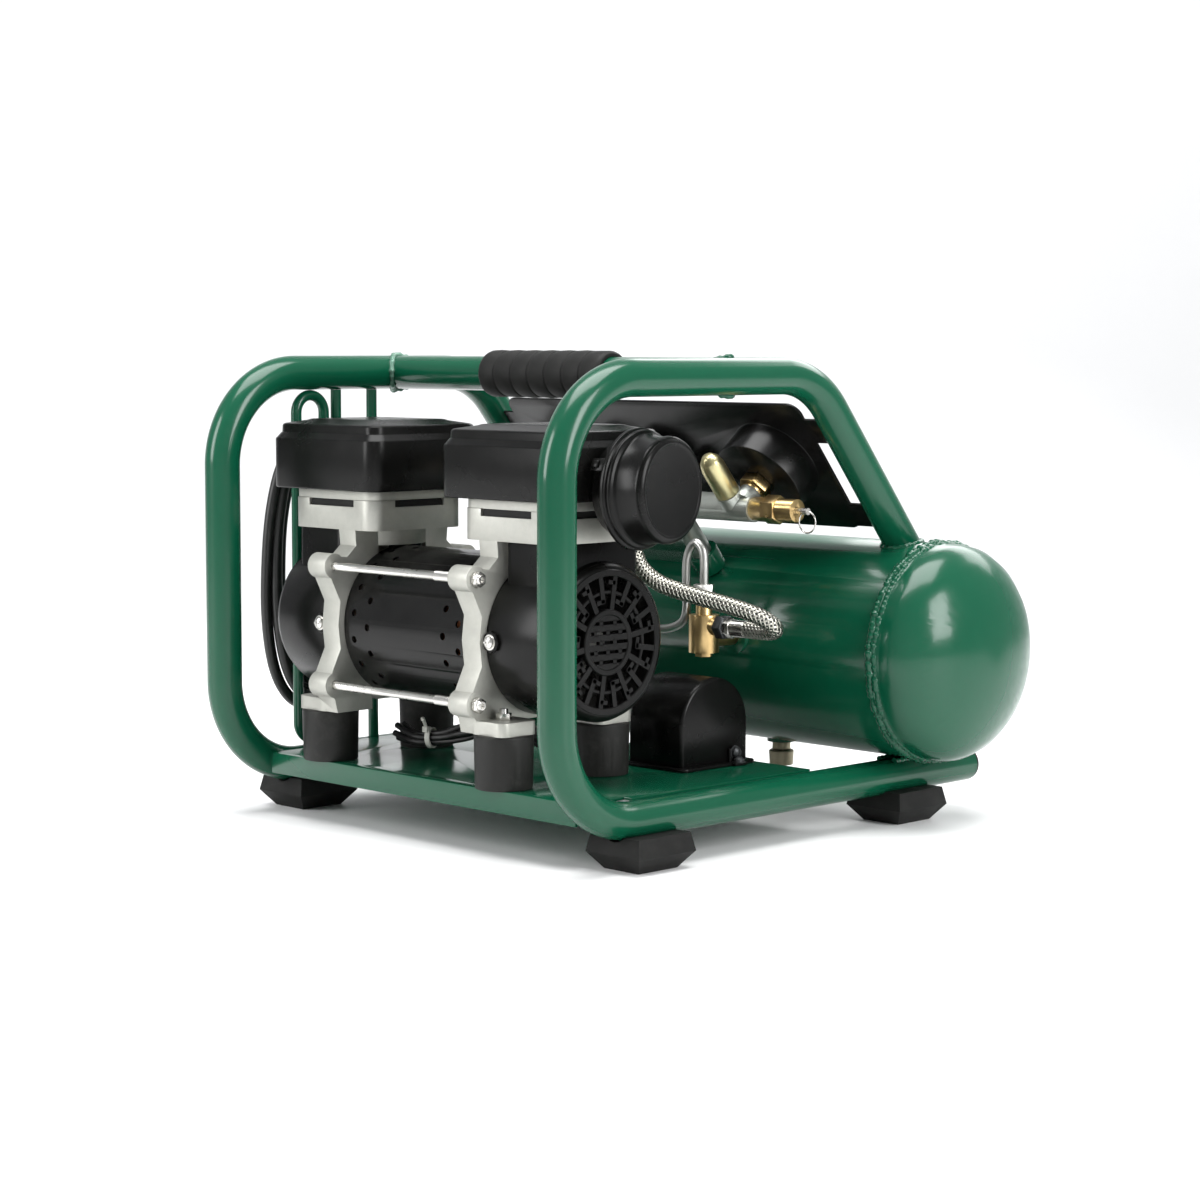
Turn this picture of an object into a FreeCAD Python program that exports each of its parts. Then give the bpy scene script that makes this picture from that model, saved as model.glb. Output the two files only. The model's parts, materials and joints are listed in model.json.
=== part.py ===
"""Twin-cylinder oil-free air compressor in a roll cage, as a parametric FreeCAD document.

Frame: +X runs across the machine from the left side frame to the right one, +Y from the pump
to the tank, +Z up. The origin lies on the floor, under the centre of the machine.
Driving sizes are in the sheet Sizes, and what follows from them is in the sheet Places.
"""
import FreeCAD, Part
import math
import os

import Sketcher
from FreeCAD import Placement, Rotation, Vector

DRIVING_SIZES = {
    # side frames, bent from one tube each
    "frame_width": 350.0, "tube_dia": 25.4, "tube_wall": 2.0, "rail_height": 33.0,
    "frame_height": 323.7, "front_tube_y": -211.7, "rail_end_y": 211.3, "bend_radius": 67.0,
    "slope_top_y": 33.5, "slope_angle": 50.2, "weld_gap": 0.1,
    # handle
    "handle_y": -48.7, "grip_dia": 34.0, "grip_length": 124.0, "grip_groove": 0.8,
    # feet
    "foot_front_y": -134.7, "foot_rear_y": 132.3, "foot_base_x": 32.0, "foot_base_y": 36.0,
    "foot_wide": 9.0, "foot_waist": 11.5, "foot_tall": 24.0,
    # base plate
    "plate_thick": 2.0, "plate_front_y": -180.7, "plate_rear_y": 43.5, "plate_lip": 15.0,
    "plate_front_half": 160.0, "plate_rear_half": 168.0, "plate_step_y": -136.0,
    # tank
    "tank_radius": 78.6, "tank_wall": 3.0, "tank_y": 144.3, "tank_half": 202.0, "tank_end": 255.0,
    "head_skirt": 10.0, "bung_radius": 13.0, "bung_bore": 6.0,
    # pump: one motor with a cylinder at each end
    "pump_x": -15.0, "pump_y": -121.7, "pump_z": 145.5, "bracket_inner": 65.3, "bracket_thick": 19.0,
    "shell_radius": 55.0, "shell_wall": 1.5, "vent_dia": 5.2, "rod_y": 63.5, "rod_z": 42.5, "rod_dia": 6.0,
    "cylinder_x": 92.4, "mount_y": 46.0, "mount_radius": 20.5, "mount_tall": 37.0,
    "collar_x": 92.0, "collar_y": 88.0, "collar_low": 212.5, "collar_high": 234.0, "collar_round": 12.0,
    "valve_plate_thick": 7.0, "cover_x": 118.0, "cover_y": 108.0, "cover_round": 12.0,
    "cover_wall": 3.0, "cover_side": 36.0, "lid_inset": 4.0, "lid_tall": 10.5,
    "crown_inset": 20.0, "crown_tall": 3.5,
    "bore_radius": 31.8, "liner_wall": 3.0, "liner_low": 201.0, "stroke": 12.0, "pin_radius": 9.0,
    "shaft_radius": 7.5, "bearing_radius": 17.5, "bearing_width": 11.0, "rotor_radius": 29.5,
    "stator_bore": 30.2, "cowl_radius": 54.5, "cowl_wall": 2.0, "cowl_reach": 146.0, "fan_radius": 46.0,
    # intake filter
    "filter_x": 136.5, "filter_y": -112.7, "filter_z": 249.0, "filter_turn": 8.0,
    "filter_radius": 38.0, "filter_long": 41.0, "filter_neck": 33.0,
    # delivery pipework
    "valve_x": 75.0, "valve_y": 32.3, "valve_low": 119.5, "valve_high": 150.0, "valve_radius": 11.0,
    "hose_dia": 12.4, "pipe_dia": 6.35,
    # control panel, on the slope of the frame
    "panel_half": 151.0, "panel_y": 81.9, "panel_z": 257.5, "panel_long": 118.0, "panel_thick": 2.0,
    "cup_x": 102.5, "cup_rise": 5.0, "cup_radius": 35.5, "cup_deep": 25.0, "manifold_x": 20.0,
    "manifold_long": 91.5, "manifold_deep": 46.0, "manifold_radius": 10.0, "bonnet_x": 93.0,
    "nipple_x": 30.0, "knob_x": 22.0, "knob_radius": 17.0,
    "gauge_radius": 20.0, "gauge_deep": 26.0, "gauge_left_x": -22.0, "gauge_right_x": -70.0,
    "switch_x": -116.0, "coupler_radius": 9.5, "coupler_bore": 4.0,
    # start capacitor
    "box_x": 62.0, "box_long": 53.0, "box_y": 1.8, "box_wide": 69.0, "box_tall": 64.0,
    # cord rack, hank and plug
    "rack_dia": 8.0, "post_front_y": -105.7, "post_rear_y": -71.0, "loop_front_y": -143.5,
    "loop_rear_y": -117.5, "hank_x": -204.0, "hank_y": -108.7, "hank_low": 64.0, "hank_high": 284.0,
    "hank_wide": 100.0, "hank_band": 27.0, "hank_thick": 24.0, "cord_dia": 8.6, "plug_long": 44.0,
    # drain
    "drain_x": 52.0,
}

PLACES = {
    "tube_r": "=Sizes.tube_dia / 2",
    "side_x": "=Sizes.frame_width / 2",
    "rail_top": "=Sizes.rail_height + tube_r",
    "tank_z": "=rail_top + Sizes.tank_radius + Sizes.weld_gap",
    "plate_top": "=rail_top + Sizes.weld_gap",
    "mount_top": "=plate_top + Sizes.mount_tall",
    "bracket_outer": "=Sizes.bracket_inner + Sizes.bracket_thick",
    "cover_low": "=Sizes.collar_high + Sizes.valve_plate_thick",
    "cover_high": "=cover_low + Sizes.cover_side",
    "lid_high": "=cover_high + Sizes.lid_tall",
    "crank_throw": "=Sizes.stroke / 2",
    "ring_bore": "=Sizes.pin_radius + Sizes.stroke + 0.8",
    "filter_back": "=Sizes.pump_x + Sizes.cylinder_x + Sizes.cover_x / 2 + 0.1",
}

doc = FreeCAD.newDocument("AirCompressor")
X_AXIS, Y_AXIS, Z_AXIS = Vector(1, 0, 0), Vector(0, 1, 0), Vector(0, 0, 1)
ALONG_X = Rotation(Y_AXIS, 90)
ALONG_MINUS_X = Rotation(Y_AXIS, -90)
ALONG_Y = Rotation(X_AXIS, -90)
ALONG_MINUS_Y = Rotation(X_AXIS, 90)
UPRIGHT = Rotation()
UP_FROM_X = Rotation(Y_AXIS, -90)
HALF_TURN = Rotation(Z_AXIS, 180)
nodes = []


def fill_sheet(name, cells):
    """Makes a spreadsheet with one named cell in each row."""
    sheet = doc.addObject("Spreadsheet::Sheet", name)
    for row, (alias, content) in enumerate(cells.items(), start=1):
        sheet.set(f"A{row}", alias.replace("_", " "))
        sheet.set(f"B{row}", str(content))
        sheet.setAlias(f"B{row}", alias)
    return sheet


sizes = fill_sheet("Sizes", DRIVING_SIZES)
places = fill_sheet("Places", PLACES)
doc.recompute()


def size(alias):
    """The value of a driving size, in millimetres or degrees."""
    return float(sizes.get(alias))


def place(alias):
    """The value of a size that follows from the driving ones."""
    return float(places.get(alias))


def locate(obj, at, turn=UPRIGHT):
    """Puts an object at a point given as three expressions, turned as asked."""
    obj.Placement = Placement(Vector(), turn)
    for axis, expression in zip("xyz", at):
        obj.setExpression(f"Placement.Base.{axis}", str(expression))
    return obj


def primitive(kind, name, at, turn=UPRIGHT, **lengths):
    """A Part primitive whose sizes are bound to expressions."""
    obj = doc.addObject(f"Part::{kind}", name)
    for key, expression in lengths.items():
        obj.setExpression(key, str(expression))
    return locate(obj, at, turn)


def rod(name, radius, length, at, turn=UPRIGHT):
    """A solid cylinder that starts at a point and runs along its turned Z axis."""
    return primitive("Cylinder", name, at, turn, Radius=radius, Height=length)


def block(name, length, width, height, at, turn=UPRIGHT):
    """A box with its lowest corner at a point."""
    return primitive("Box", name, at, turn, Length=length, Width=width, Height=height)


def joined(name, parts):
    """The union of several objects; pieces that do not touch stay separate solids."""
    obj = doc.addObject("Part::MultiFuse", name)
    obj.Shapes = parts
    return obj


def cut(name, base, tools):
    """The base without the tools."""
    obj = doc.addObject("Part::Cut", name)
    obj.Base = base
    obj.Tool = tools[0] if len(tools) == 1 else joined(name + "_cutters", tools)
    return obj


def rounded(name, base, radius, direction=Z_AXIS, keep=None):
    """The base with the straight edges along a direction rounded."""
    doc.recompute()
    picked = []
    for number, edge in enumerate(base.Shape.Edges, start=1):
        straight = isinstance(edge.Curve, Part.Line)
        if straight and abs(edge.Curve.Direction.dot(direction)) > 0.999:
            if keep is None or keep(edge.CenterOfMass):
                picked.append((number, radius, radius))
    obj = doc.addObject("Part::Fillet", name)
    obj.Base = base
    obj.Edges = picked
    return obj


def outline_body(name, plane_role, points):
    """A body with a closed sketch whose corners are bound to expressions."""
    body = doc.addObject("PartDesign::Body", name)
    sketch = body.newObject("Sketcher::SketchObject", name + "_outline")
    plane = next(f for f in body.Origin.OriginFeatures if f.Role == plane_role)
    sketch.AttachmentSupport = [(plane, "")]
    sketch.MapMode = "FlatFace"
    count = len(points)
    start = [Vector(math.cos(6.28 * i / count), math.sin(6.28 * i / count), 0) for i in range(count)]
    for i in range(count):
        sketch.addGeometry(Part.LineSegment(start[i], start[(i + 1) % count]), False)
    for i in range(count):
        sketch.addConstraint(Sketcher.Constraint("Coincident", i, 2, (i + 1) % count, 1))
    for i, (across, along) in enumerate(points):
        for kind, expression, now in (("DistanceX", across, start[i].x), ("DistanceY", along, start[i].y)):
            number = sketch.addConstraint(Sketcher.Constraint(kind, -1, 1, i, 1, now))
            sketch.setExpression(f"Constraints[{number}]", str(expression))
    return body, sketch


def turned(name, points, at=(0, 0, 0), turn=UPRIGHT):
    """A body of revolution about its own X axis from (along, radius) corners."""
    body, sketch = outline_body(name, "XY_Plane", points)
    spin = body.newObject("PartDesign::Revolution", name + "_spin")
    spin.Profile = sketch
    spin.ReferenceAxis = (sketch, ["H_Axis"])
    spin.Angle = 360
    body.Tip = spin
    return locate(body, at, turn)


def padded(name, plane_role, points, length, at=(0, 0, 0), turn=UPRIGHT):
    """A body padded from a closed outline of straight lines."""
    body, sketch = outline_body(name, plane_role, points)
    pad = body.newObject("PartDesign::Pad", name + "_pad")
    pad.Profile = sketch
    pad.setExpression("Length", str(length))
    body.Tip = pad
    return locate(body, at, turn)


def keep(obj, label):
    """Marks an object as a finished sub-part, under the name of its file."""
    obj.Label = label
    nodes.append(obj)
    return obj


def rounded_path(points, radii):
    """A wire of straight runs joined by tangent arcs; radii has one value for each inner point."""
    edges, here = [], points[0]
    for before, corner, after, radius in zip(points, points[1:], points[2:], radii):
        into, out = (corner - before).normalize(), (after - corner).normalize()
        turn = into.getAngle(out)
        back = radius * math.tan(turn / 2)
        first, last = corner - into * back, corner + out * back
        inward = (out - into).normalize()
        middle = corner + inward * (radius / math.cos(turn / 2) - radius)
        edges.append(Part.LineSegment(here, first).toShape())
        edges.append(Part.Arc(first, middle, last).toShape())
        here = last
    edges.append(Part.LineSegment(here, points[-1]).toShape())
    return Part.Wire(edges)


def cord_radii(points):
    """For each inner point, 0.45 of the shorter run over the tangent of half the turn."""
    radii = []
    for before, corner, after in zip(points, points[1:], points[2:]):
        into, out = corner - before, after - corner
        half = into.getAngle(out) / 2
        radii.append(0.45 * min(into.Length, out.Length) / math.tan(half))
    return radii


def swept(path, radius):
    """A round bar along a wire."""
    start = path.Edges[0]
    tangent = start.tangentAt(start.FirstParameter)
    ring = Part.Wire([Part.makeCircle(radius, start.Vertexes[0].Point, tangent)])
    return path.makePipeShell([ring], True, True)


def shaped(name, shape, label):
    """A sub-part whose shape is worked out from the sheet's values."""
    obj = doc.addObject("Part::Feature", name)
    obj.Shape = shape
    return keep(obj, label)


def flexible(name, points, diameter, label):
    """A cord, hose or pipe along a list of points, with its radii and volume printed."""
    path = rounded_path(points, cord_radii(points))
    solid = swept(path, diameter / 2)
    expected = math.pi * diameter ** 2 / 4 * path.Length
    print(label, "length", round(path.Length, 1), "radii", [round(r, 1) for r in cord_radii(points)],
          "volume share", round(solid.Volume / expected, 4))
    return shaped(name, solid, label)


# ---------------------------------------------------------------- roll cage
def side_frame_path(side_x):
    """The centreline of a side frame: bottom rail, front upright, top tube and rear slope."""
    low, high = size("rail_height"), size("frame_height")
    slope = math.radians(size("slope_angle"))
    top_corner = Vector(side_x, size("slope_top_y"), high)
    fall = high - place("tank_z")
    end = top_corner + Vector(0, fall / math.tan(slope), -fall)
    corners = [Vector(side_x, size("rail_end_y"), low), Vector(side_x, size("front_tube_y"), low),
               Vector(side_x, size("front_tube_y"), high), top_corner, end]
    return rounded_path(corners, [size("bend_radius")] * 3)


def tank_envelope(extra=0.0):
    """The space that the tank's shell fills."""
    half = size("tank_end")
    return Part.makeCylinder(size("tank_radius") + extra, 2 * half,
                             Vector(-half, size("tank_y"), place("tank_z")), X_AXIS)


def side_frame(sign, label):
    """One hollow side frame, coped to the tank at its rear end."""
    path = side_frame_path(sign * place("side_x"))
    tube = swept(path, place("tube_r")).cut(swept(path, place("tube_r") - size("tube_wall")))
    near = tank_envelope(size("weld_gap"))
    coped = tube.cut(near)
    return shaped(label, max(coped.Solids, key=lambda s: s.Volume), label)


side_frame(-1, "left_side_frame")
side_frame(1, "right_side_frame")

handle = rod("handle_solid", "Places.tube_r", "Sizes.frame_width",
             ("-Places.side_x", "Sizes.handle_y", "Sizes.frame_height"), ALONG_X)
handle_cutters = [rod("handle_hollow", "Places.tube_r - Sizes.tube_wall", "Sizes.frame_width",
                      ("-Places.side_x", "Sizes.handle_y", "Sizes.frame_height"), ALONG_X)]
for side, sign in (("left", "-"), ("right", "")):
    handle_cutters.append(rod(f"handle_cope_{side}", "Places.tube_r + Sizes.weld_gap", 60,
                              (f"{sign}Places.side_x", "Sizes.handle_y - 30", "Sizes.frame_height"), ALONG_Y))
keep(cut("handle", handle, handle_cutters), "handle_tube")

grip_points = [("-Sizes.grip_length / 2", "Places.tube_r + 0.05"), ("Sizes.grip_length / 2", "Places.tube_r + 0.05"),
               ("Sizes.grip_length / 2", "Sizes.grip_dia / 2 - 1.6"), ("Sizes.grip_length / 2 - 14", "Sizes.grip_dia / 2")]
GRIP_GROOVES = 6
for k in range(GRIP_GROOVES):
    centre = f"Sizes.grip_length * {round((GRIP_GROOVES - 1) / 2 - k, 1)} / 6.6"
    grip_points += [(f"{centre} + 1", "Sizes.grip_dia / 2"),
                    (centre, "Sizes.grip_dia / 2 - Sizes.grip_groove"),
                    (f"{centre} - 1", "Sizes.grip_dia / 2")]
grip_points += [("-Sizes.grip_length / 2 + 7", "Sizes.grip_dia / 2"),
                ("-Sizes.grip_length / 2", "Sizes.grip_dia / 2 - 1.6")]
keep(turned("grip", grip_points, (0, "Sizes.handle_y", "Sizes.frame_height")), "handle_grip")


def base_plate_part():
    """The folded sheet between the two bottom rails, with lips at the front and rear."""
    thick, lip = "Sizes.plate_thick", "Sizes.plate_lip"
    front = block("plate_front", "2 * Sizes.plate_front_half", "Sizes.plate_step_y - Sizes.plate_front_y + 1", thick,
                  ("-Sizes.plate_front_half", "Sizes.plate_front_y", "Places.plate_top - Sizes.plate_thick"))
    rear = block("plate_rear", "2 * Sizes.plate_rear_half", "Sizes.plate_rear_y - Sizes.plate_step_y", thick,
                 ("-Sizes.plate_rear_half", "Sizes.plate_step_y", "Places.plate_top - Sizes.plate_thick"))
    lips = [block("plate_front_lip", "2 * Sizes.plate_front_half", thick, lip,
                  ("-Sizes.plate_front_half", "Sizes.plate_front_y", "Places.plate_top - Sizes.plate_lip")),
            block("plate_rear_lip", "2 * Sizes.plate_front_half", thick, lip,
                  ("-Sizes.plate_front_half", "Sizes.plate_rear_y - Sizes.plate_thick",
                   "Places.plate_top - Sizes.plate_lip"))]
    holes = []
    for i, sx in enumerate((-1, 1)):
        holes.append(rod(f"plate_rail_cut_{i}", "Places.tube_r + Sizes.weld_gap / 2", 300,
                         (f"{sx} * Places.side_x", "Sizes.front_tube_y + Sizes.bend_radius - 10",
                          "Sizes.rail_height"), ALONG_Y))
        for j, sy in enumerate((-1, 1)):
            holes.append(rod(f"plate_hole_{i}{j}", 3.2, 10,
                             (f"Sizes.pump_x + {sx} * Sizes.cylinder_x",
                              f"Sizes.pump_y + {sy} * Sizes.mount_y", "Places.plate_top - 5")))
    keep(cut("plate", joined("plate_sheet", [front, rear] + lips), holes), "base_plate")


base_plate_part()

plugs = []
for i, sx in enumerate((-1, 1)):
    plugs.append(turned(f"end_plug_{i}", [
        ("-14", "0"), ("-14", "Places.tube_r - Sizes.tube_wall - 0.05"),
        ("0.1", "Places.tube_r - Sizes.tube_wall - 0.05"), ("0.1", "Places.tube_r"), ("3.5", "Places.tube_r - 1"),
        ("3.5", "0")],
        (f"{sx} * Places.side_x", "Sizes.rail_end_y", "Sizes.rail_height"), Rotation(Z_AXIS, 90)))
keep(joined("end_plugs", plugs), "rail_end_plugs")

# ---------------------------------------------------------------- feet
feet, foot_screws = [], []
for i, sx in enumerate((-1, 1)):
    for j, row in enumerate(("Sizes.foot_front_y", "Sizes.foot_rear_y")):
        tag = f"{i}{j}"
        at = (f"{sx} * Places.side_x", row)
        half_x, half_y = "Sizes.foot_base_x / 2", "Sizes.foot_base_y / 2"
        layers = []
        for layer, (low, high, near, far) in enumerate((
                ("0", "Sizes.foot_waist", "0", "Sizes.foot_wide"),
                ("Sizes.foot_waist", "Sizes.foot_tall", "Sizes.foot_wide", "Sizes.foot_wide - 2.5"))):
            wedge = doc.addObject("Part::Wedge", f"foot_layer_{tag}{layer}")
            # a wedge tapers along its own Y, which is turned to point up
            for key, expression in {
                    "Xmin": f"-({half_x}) - ({near})", "Xmax": f"{half_x} + {near}",
                    "Zmin": f"-({half_y}) - ({near})", "Zmax": f"{half_y} + {near}",
                    "X2min": f"-({half_x}) - ({far})", "X2max": f"{half_x} + {far}",
                    "Z2min": f"-({half_y}) - ({far})", "Z2max": f"{half_y} + {far}",
                    "Ymin": "0", "Ymax": f"{high} - ({low})"}.items():
                wedge.setExpression(key, expression)
            layers.append(locate(wedge, (*at, low), Rotation(X_AXIS, 90)))
        saddle = rod(f"foot_saddle_{tag}", "Places.tube_r + 0.05", 100,
                     (at[0], f"{row} - 50", "Sizes.rail_height"), ALONG_Y)
        bore = rod(f"foot_bore_{tag}", 2.7, 60, (*at, -1))
        sink = rod(f"foot_sink_{tag}", 5.2, 9, (*at, -1))
        feet.append(cut(f"foot_{tag}", joined(f"foot_block_{tag}", layers), [saddle, bore, sink]))
        foot_screws.append(joined(f"foot_screw_{tag}", [
            rod(f"foot_screw_head_{tag}", 4.8, 3.0, (*at, 4.9)),
            rod(f"foot_screw_shank_{tag}", 2.5, "Sizes.rail_height - Places.tube_r - 7.6", (*at, 7.5))]))
keep(joined("feet_group", feet), "rubber_feet")

# ---------------------------------------------------------------- tank
shell = turned("tank_tube", [("-Sizes.tank_half", "Sizes.tank_radius - Sizes.tank_wall"),
                             ("Sizes.tank_half", "Sizes.tank_radius - Sizes.tank_wall"),
                             ("Sizes.tank_half", "Sizes.tank_radius"), ("-Sizes.tank_half", "Sizes.tank_radius")],
               (0, "Sizes.tank_y", "Places.tank_z"))
# the upper bung faces the nipple, which leaves the manifold down the panel's slope
SLOPE_COS, SLOPE_SIN = 0.64011, 0.768284
TOP_BUNG = (f"Sizes.panel_y + 48 * {SLOPE_COS} - Sizes.manifold_deep * {SLOPE_SIN}",
            f"Sizes.panel_z - 48 * {SLOPE_SIN} - Sizes.manifold_deep * {SLOPE_COS}")
front_bung = ("Sizes.valve_x", "Sizes.tank_y - Sizes.tank_radius", "Sizes.valve_low + 12")
bungs = [rod("bung_front", "Sizes.bung_radius", 14, (front_bung[0], f"{front_bung[1]} - 3", front_bung[2]), ALONG_Y),
         rod("bung_low", "Sizes.bung_radius - 2", 12, ("Sizes.drain_x", "Sizes.tank_y",
                                                      "Places.tank_z - Sizes.tank_radius - 2")),
         rod("bung_top", "Sizes.bung_radius - 1", 16, ("Sizes.nipple_x", *TOP_BUNG), Rotation(X_AXIS, -90 - 50.2))]
bores = [rod("bore_front", "Sizes.bung_bore", 40, (front_bung[0], f"{front_bung[1]} - 20", front_bung[2]), ALONG_Y),
         rod("bore_low", "Sizes.bung_bore - 1", 40, ("Sizes.drain_x", "Sizes.tank_y",
                                                     "Places.tank_z - Sizes.tank_radius - 20")),
         rod("bore_top", 8.1, 60, ("Sizes.nipple_x", *TOP_BUNG), Rotation(X_AXIS, -90 - 50.2))]
inside = rod("tank_inside", "Sizes.tank_radius - Sizes.tank_wall", "2 * Sizes.tank_half + 2",
             ("-Sizes.tank_half - 1", "Sizes.tank_y", "Places.tank_z"), ALONG_X)
keep(cut("tank_barrel", joined("tank_with_bungs", [shell] + bungs), [inside] + bores), "tank_shell")

DOME_STEPS = 8
dome_outside, dome_inside = [], []
for k in range(DOME_STEPS + 1):
    angle = math.radians(90 * k / DOME_STEPS)
    reach, radius = round(math.sin(angle), 4), round(math.cos(angle), 4)
    start = "(Sizes.tank_half + Sizes.head_skirt)"
    deep = "(Sizes.tank_end - Sizes.tank_half - Sizes.head_skirt)"
    dome_outside.append((f"{start} + {deep} * {reach}", f"Sizes.tank_radius * {radius}"))
    dome_inside.append((f"{start} + ({deep} - Sizes.tank_wall) * {reach}",
                        f"(Sizes.tank_radius - Sizes.tank_wall) * {radius}"))
head_points = ([("Sizes.tank_half + Sizes.weld_gap", "Sizes.tank_radius - Sizes.tank_wall")]
               + dome_inside + dome_outside[::-1]
               + [("Sizes.tank_half + 4", "Sizes.tank_radius"), ("Sizes.tank_half + 3", "Sizes.tank_radius + 1.5"),
                  ("Sizes.tank_half + Sizes.weld_gap", "Sizes.tank_radius + 1.5")])
for label, turn in (("tank_head_right", UPRIGHT), ("tank_head_left", HALF_TURN)):
    keep(turned(label + "_shape", head_points, (0, "Sizes.tank_y", "Places.tank_z"), turn), label)

drain_at = ("Sizes.drain_x", "Sizes.tank_y")
keep(joined("drain_body", [
    rod("drain_thread", "Sizes.bung_bore - 1.05", 10, (*drain_at, "Places.tank_z - Sizes.tank_radius - 8")),
    rod("drain_barrel", 7, 6, (*drain_at, "Places.tank_z - Sizes.tank_radius - 8.1"))]), "drain_valve_body")
knob_low = "Places.tank_z - Sizes.tank_radius - 20"
keep(turned("drain_turn", [("0", "0"), ("0", "9"), ("10.5", "9.6"), ("11.6", "8.6"), ("11.6", "0")],
            (*drain_at, knob_low), UP_FROM_X), "drain_knob")

# ---------------------------------------------------------------- cord rack
post_length = "Sizes.frame_height - Sizes.rail_height - 2 * Places.tube_r - 0.1"
rack = [rod(f"post_{k}", "Sizes.rack_dia / 2", post_length, ("-Places.side_x", y, "Places.rail_top + 0.05"))
        for k, y in enumerate(("Sizes.post_front_y", "Sizes.post_rear_y"))]


def rack_loop():
    """The closed loop of rod between the bottom rail and the top tube."""
    radius = size("rack_dia") / 2
    bend = (size("loop_rear_y") - size("loop_front_y")) / 2
    low = place("rail_top") + radius + 0.05 + bend
    high = size("frame_height") - place("tube_r") - radius - 0.05 - bend
    side_x, front, rear = -place("side_x"), size("loop_front_y"), size("loop_rear_y")
    middle = (front + rear) / 2
    edges = [Part.LineSegment(Vector(side_x, front, low), Vector(side_x, front, high)).toShape(),
             Part.Arc(Vector(side_x, front, high), Vector(side_x, middle, high + bend),
                      Vector(side_x, rear, high)).toShape(),
             Part.LineSegment(Vector(side_x, rear, high), Vector(side_x, rear, low)).toShape(),
             Part.Arc(Vector(side_x, rear, low), Vector(side_x, middle, low - bend),
                      Vector(side_x, front, low)).toShape()]
    loop = doc.addObject("Part::Feature", "rack_loop")
    loop.Shape = swept(Part.Wire(edges), radius)
    return loop


keep(joined("rack", rack + [rack_loop()]), "cord_rack")

# ---------------------------------------------------------------- motor
pump_centre = ("Sizes.pump_x", "Sizes.pump_y", "Sizes.pump_z")
shell_tube = turned("shell_tube", [("-Sizes.bracket_inner + 0.1", "Sizes.shell_radius - Sizes.shell_wall"),
                                   ("Sizes.bracket_inner - 0.1", "Sizes.shell_radius - Sizes.shell_wall"),
                                   ("Sizes.bracket_inner - 0.1", "Sizes.shell_radius"),
                                   ("-Sizes.bracket_inner + 0.1", "Sizes.shell_radius")], pump_centre)
drills = []
for side in (-1, 1):
    for row, inset in enumerate((10, 25)):
        at_x = size("pump_x") + side * (size("bracket_inner") - inset)
        for k in range(9):
            # each drill runs right through, so it makes two opposite vents
            aim = Rotation(X_AXIS, 20 * k + 10 * row).multVec(Z_AXIS)
            start = Vector(at_x, size("pump_y"), size("pump_z")) - aim * (size("shell_radius") + 2)
            drills.append(Part.makeCylinder(size("vent_dia") / 2, 2 * size("shell_radius") + 4, start, aim))
vents = doc.addObject("Part::Feature", "vents")
vents.Shape = Part.Compound(drills)
keep(cut("shell", shell_tube, [vents]), "motor_shell")
core = turned("stator_core", [("-28", "Sizes.stator_bore"), ("28", "Sizes.stator_bore"),
                              ("28", "Sizes.shell_radius - Sizes.shell_wall - 0.05"),
                              ("-28", "Sizes.shell_radius - Sizes.shell_wall - 0.05")], pump_centre)
windings = []
for label, turn in (("right", UPRIGHT), ("left", HALF_TURN)):
    windings.append(turned(f"winding_{label}", [("28.1", "34"), ("44", "33"), ("48", "37"), ("48", "45"),
                                                ("44", "49"), ("28.1", "48")], pump_centre, turn))
keep(joined("stator_group", [core] + windings), "stator")

keep(turned("rotor_body", [("-30", "Sizes.shaft_radius + 0.02"), ("30", "Sizes.shaft_radius + 0.02"),
                           ("30", "Sizes.rotor_radius"), ("-30", "Sizes.rotor_radius")], pump_centre), "rotor")


def shaft_part():
    """The shaft with a counterweighted eccentric for each connecting rod."""
    pieces = [rod("shaft_core", "Sizes.shaft_radius", "2 * Sizes.cowl_reach - 22",
                  ("Sizes.pump_x - Sizes.cowl_reach + 11", "Sizes.pump_y", "Sizes.pump_z"), ALONG_X)]
    for label, sign in (("left", "-"), ("right", "")):
        pieces.append(rod(f"eccentric_{label}", "Sizes.pin_radius", 8,
                          (f"Sizes.pump_x + {sign}Sizes.cylinder_x - 4", "Sizes.pump_y",
                           "Sizes.pump_z + Places.crank_throw"), ALONG_X))
    return keep(joined("shaft", pieces), "motor_shaft")


shaft_part()
bearings = []
for label, turn in (("right", UPRIGHT), ("left", HALF_TURN)):
    inner = "Sizes.bracket_inner + 3"
    bearings.append(turned(f"bearing_{label}", [(inner, "Sizes.shaft_radius + 0.05"),
                                                (f"{inner} + Sizes.bearing_width", "Sizes.shaft_radius + 0.05"),
                                                (f"{inner} + Sizes.bearing_width", "Sizes.bearing_radius"),
                                                (inner, "Sizes.bearing_radius")], pump_centre, turn))
keep(joined("bearing_pair", bearings), "shaft_bearings")

# ---------------------------------------------------------------- crankcases
web_top = "Sizes.collar_low - Sizes.pump_z"
foot_top = "Places.mount_top - Sizes.pump_z + 9.55"
half_outline = [("0", web_top), ("Sizes.collar_y / 2", web_top), ("Sizes.collar_y / 2 - 1", "56"),
                ("Sizes.rod_y - 12", "Sizes.rod_z + 6"), ("Sizes.rod_y", "Sizes.rod_z + 7"),
                ("Sizes.rod_y + 7", "Sizes.rod_z"), ("Sizes.shell_radius + 3", "17"), ("Sizes.shell_radius + 5", "0"),
                ("Sizes.shell_radius + 3", "-17"), ("Sizes.rod_y + 7", "-Sizes.rod_z"),
                ("Sizes.rod_y + 2", "-Sizes.rod_z - 8"), ("Sizes.rod_y", foot_top),
                ("Sizes.mount_y + 15", f"{foot_top} - 9.5"), ("Sizes.mount_y - 17", f"{foot_top} - 9.5"),
                ("Sizes.mount_y - 17", foot_top), ("Sizes.shell_radius - 32", "-Sizes.shell_radius - 1")]
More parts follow.
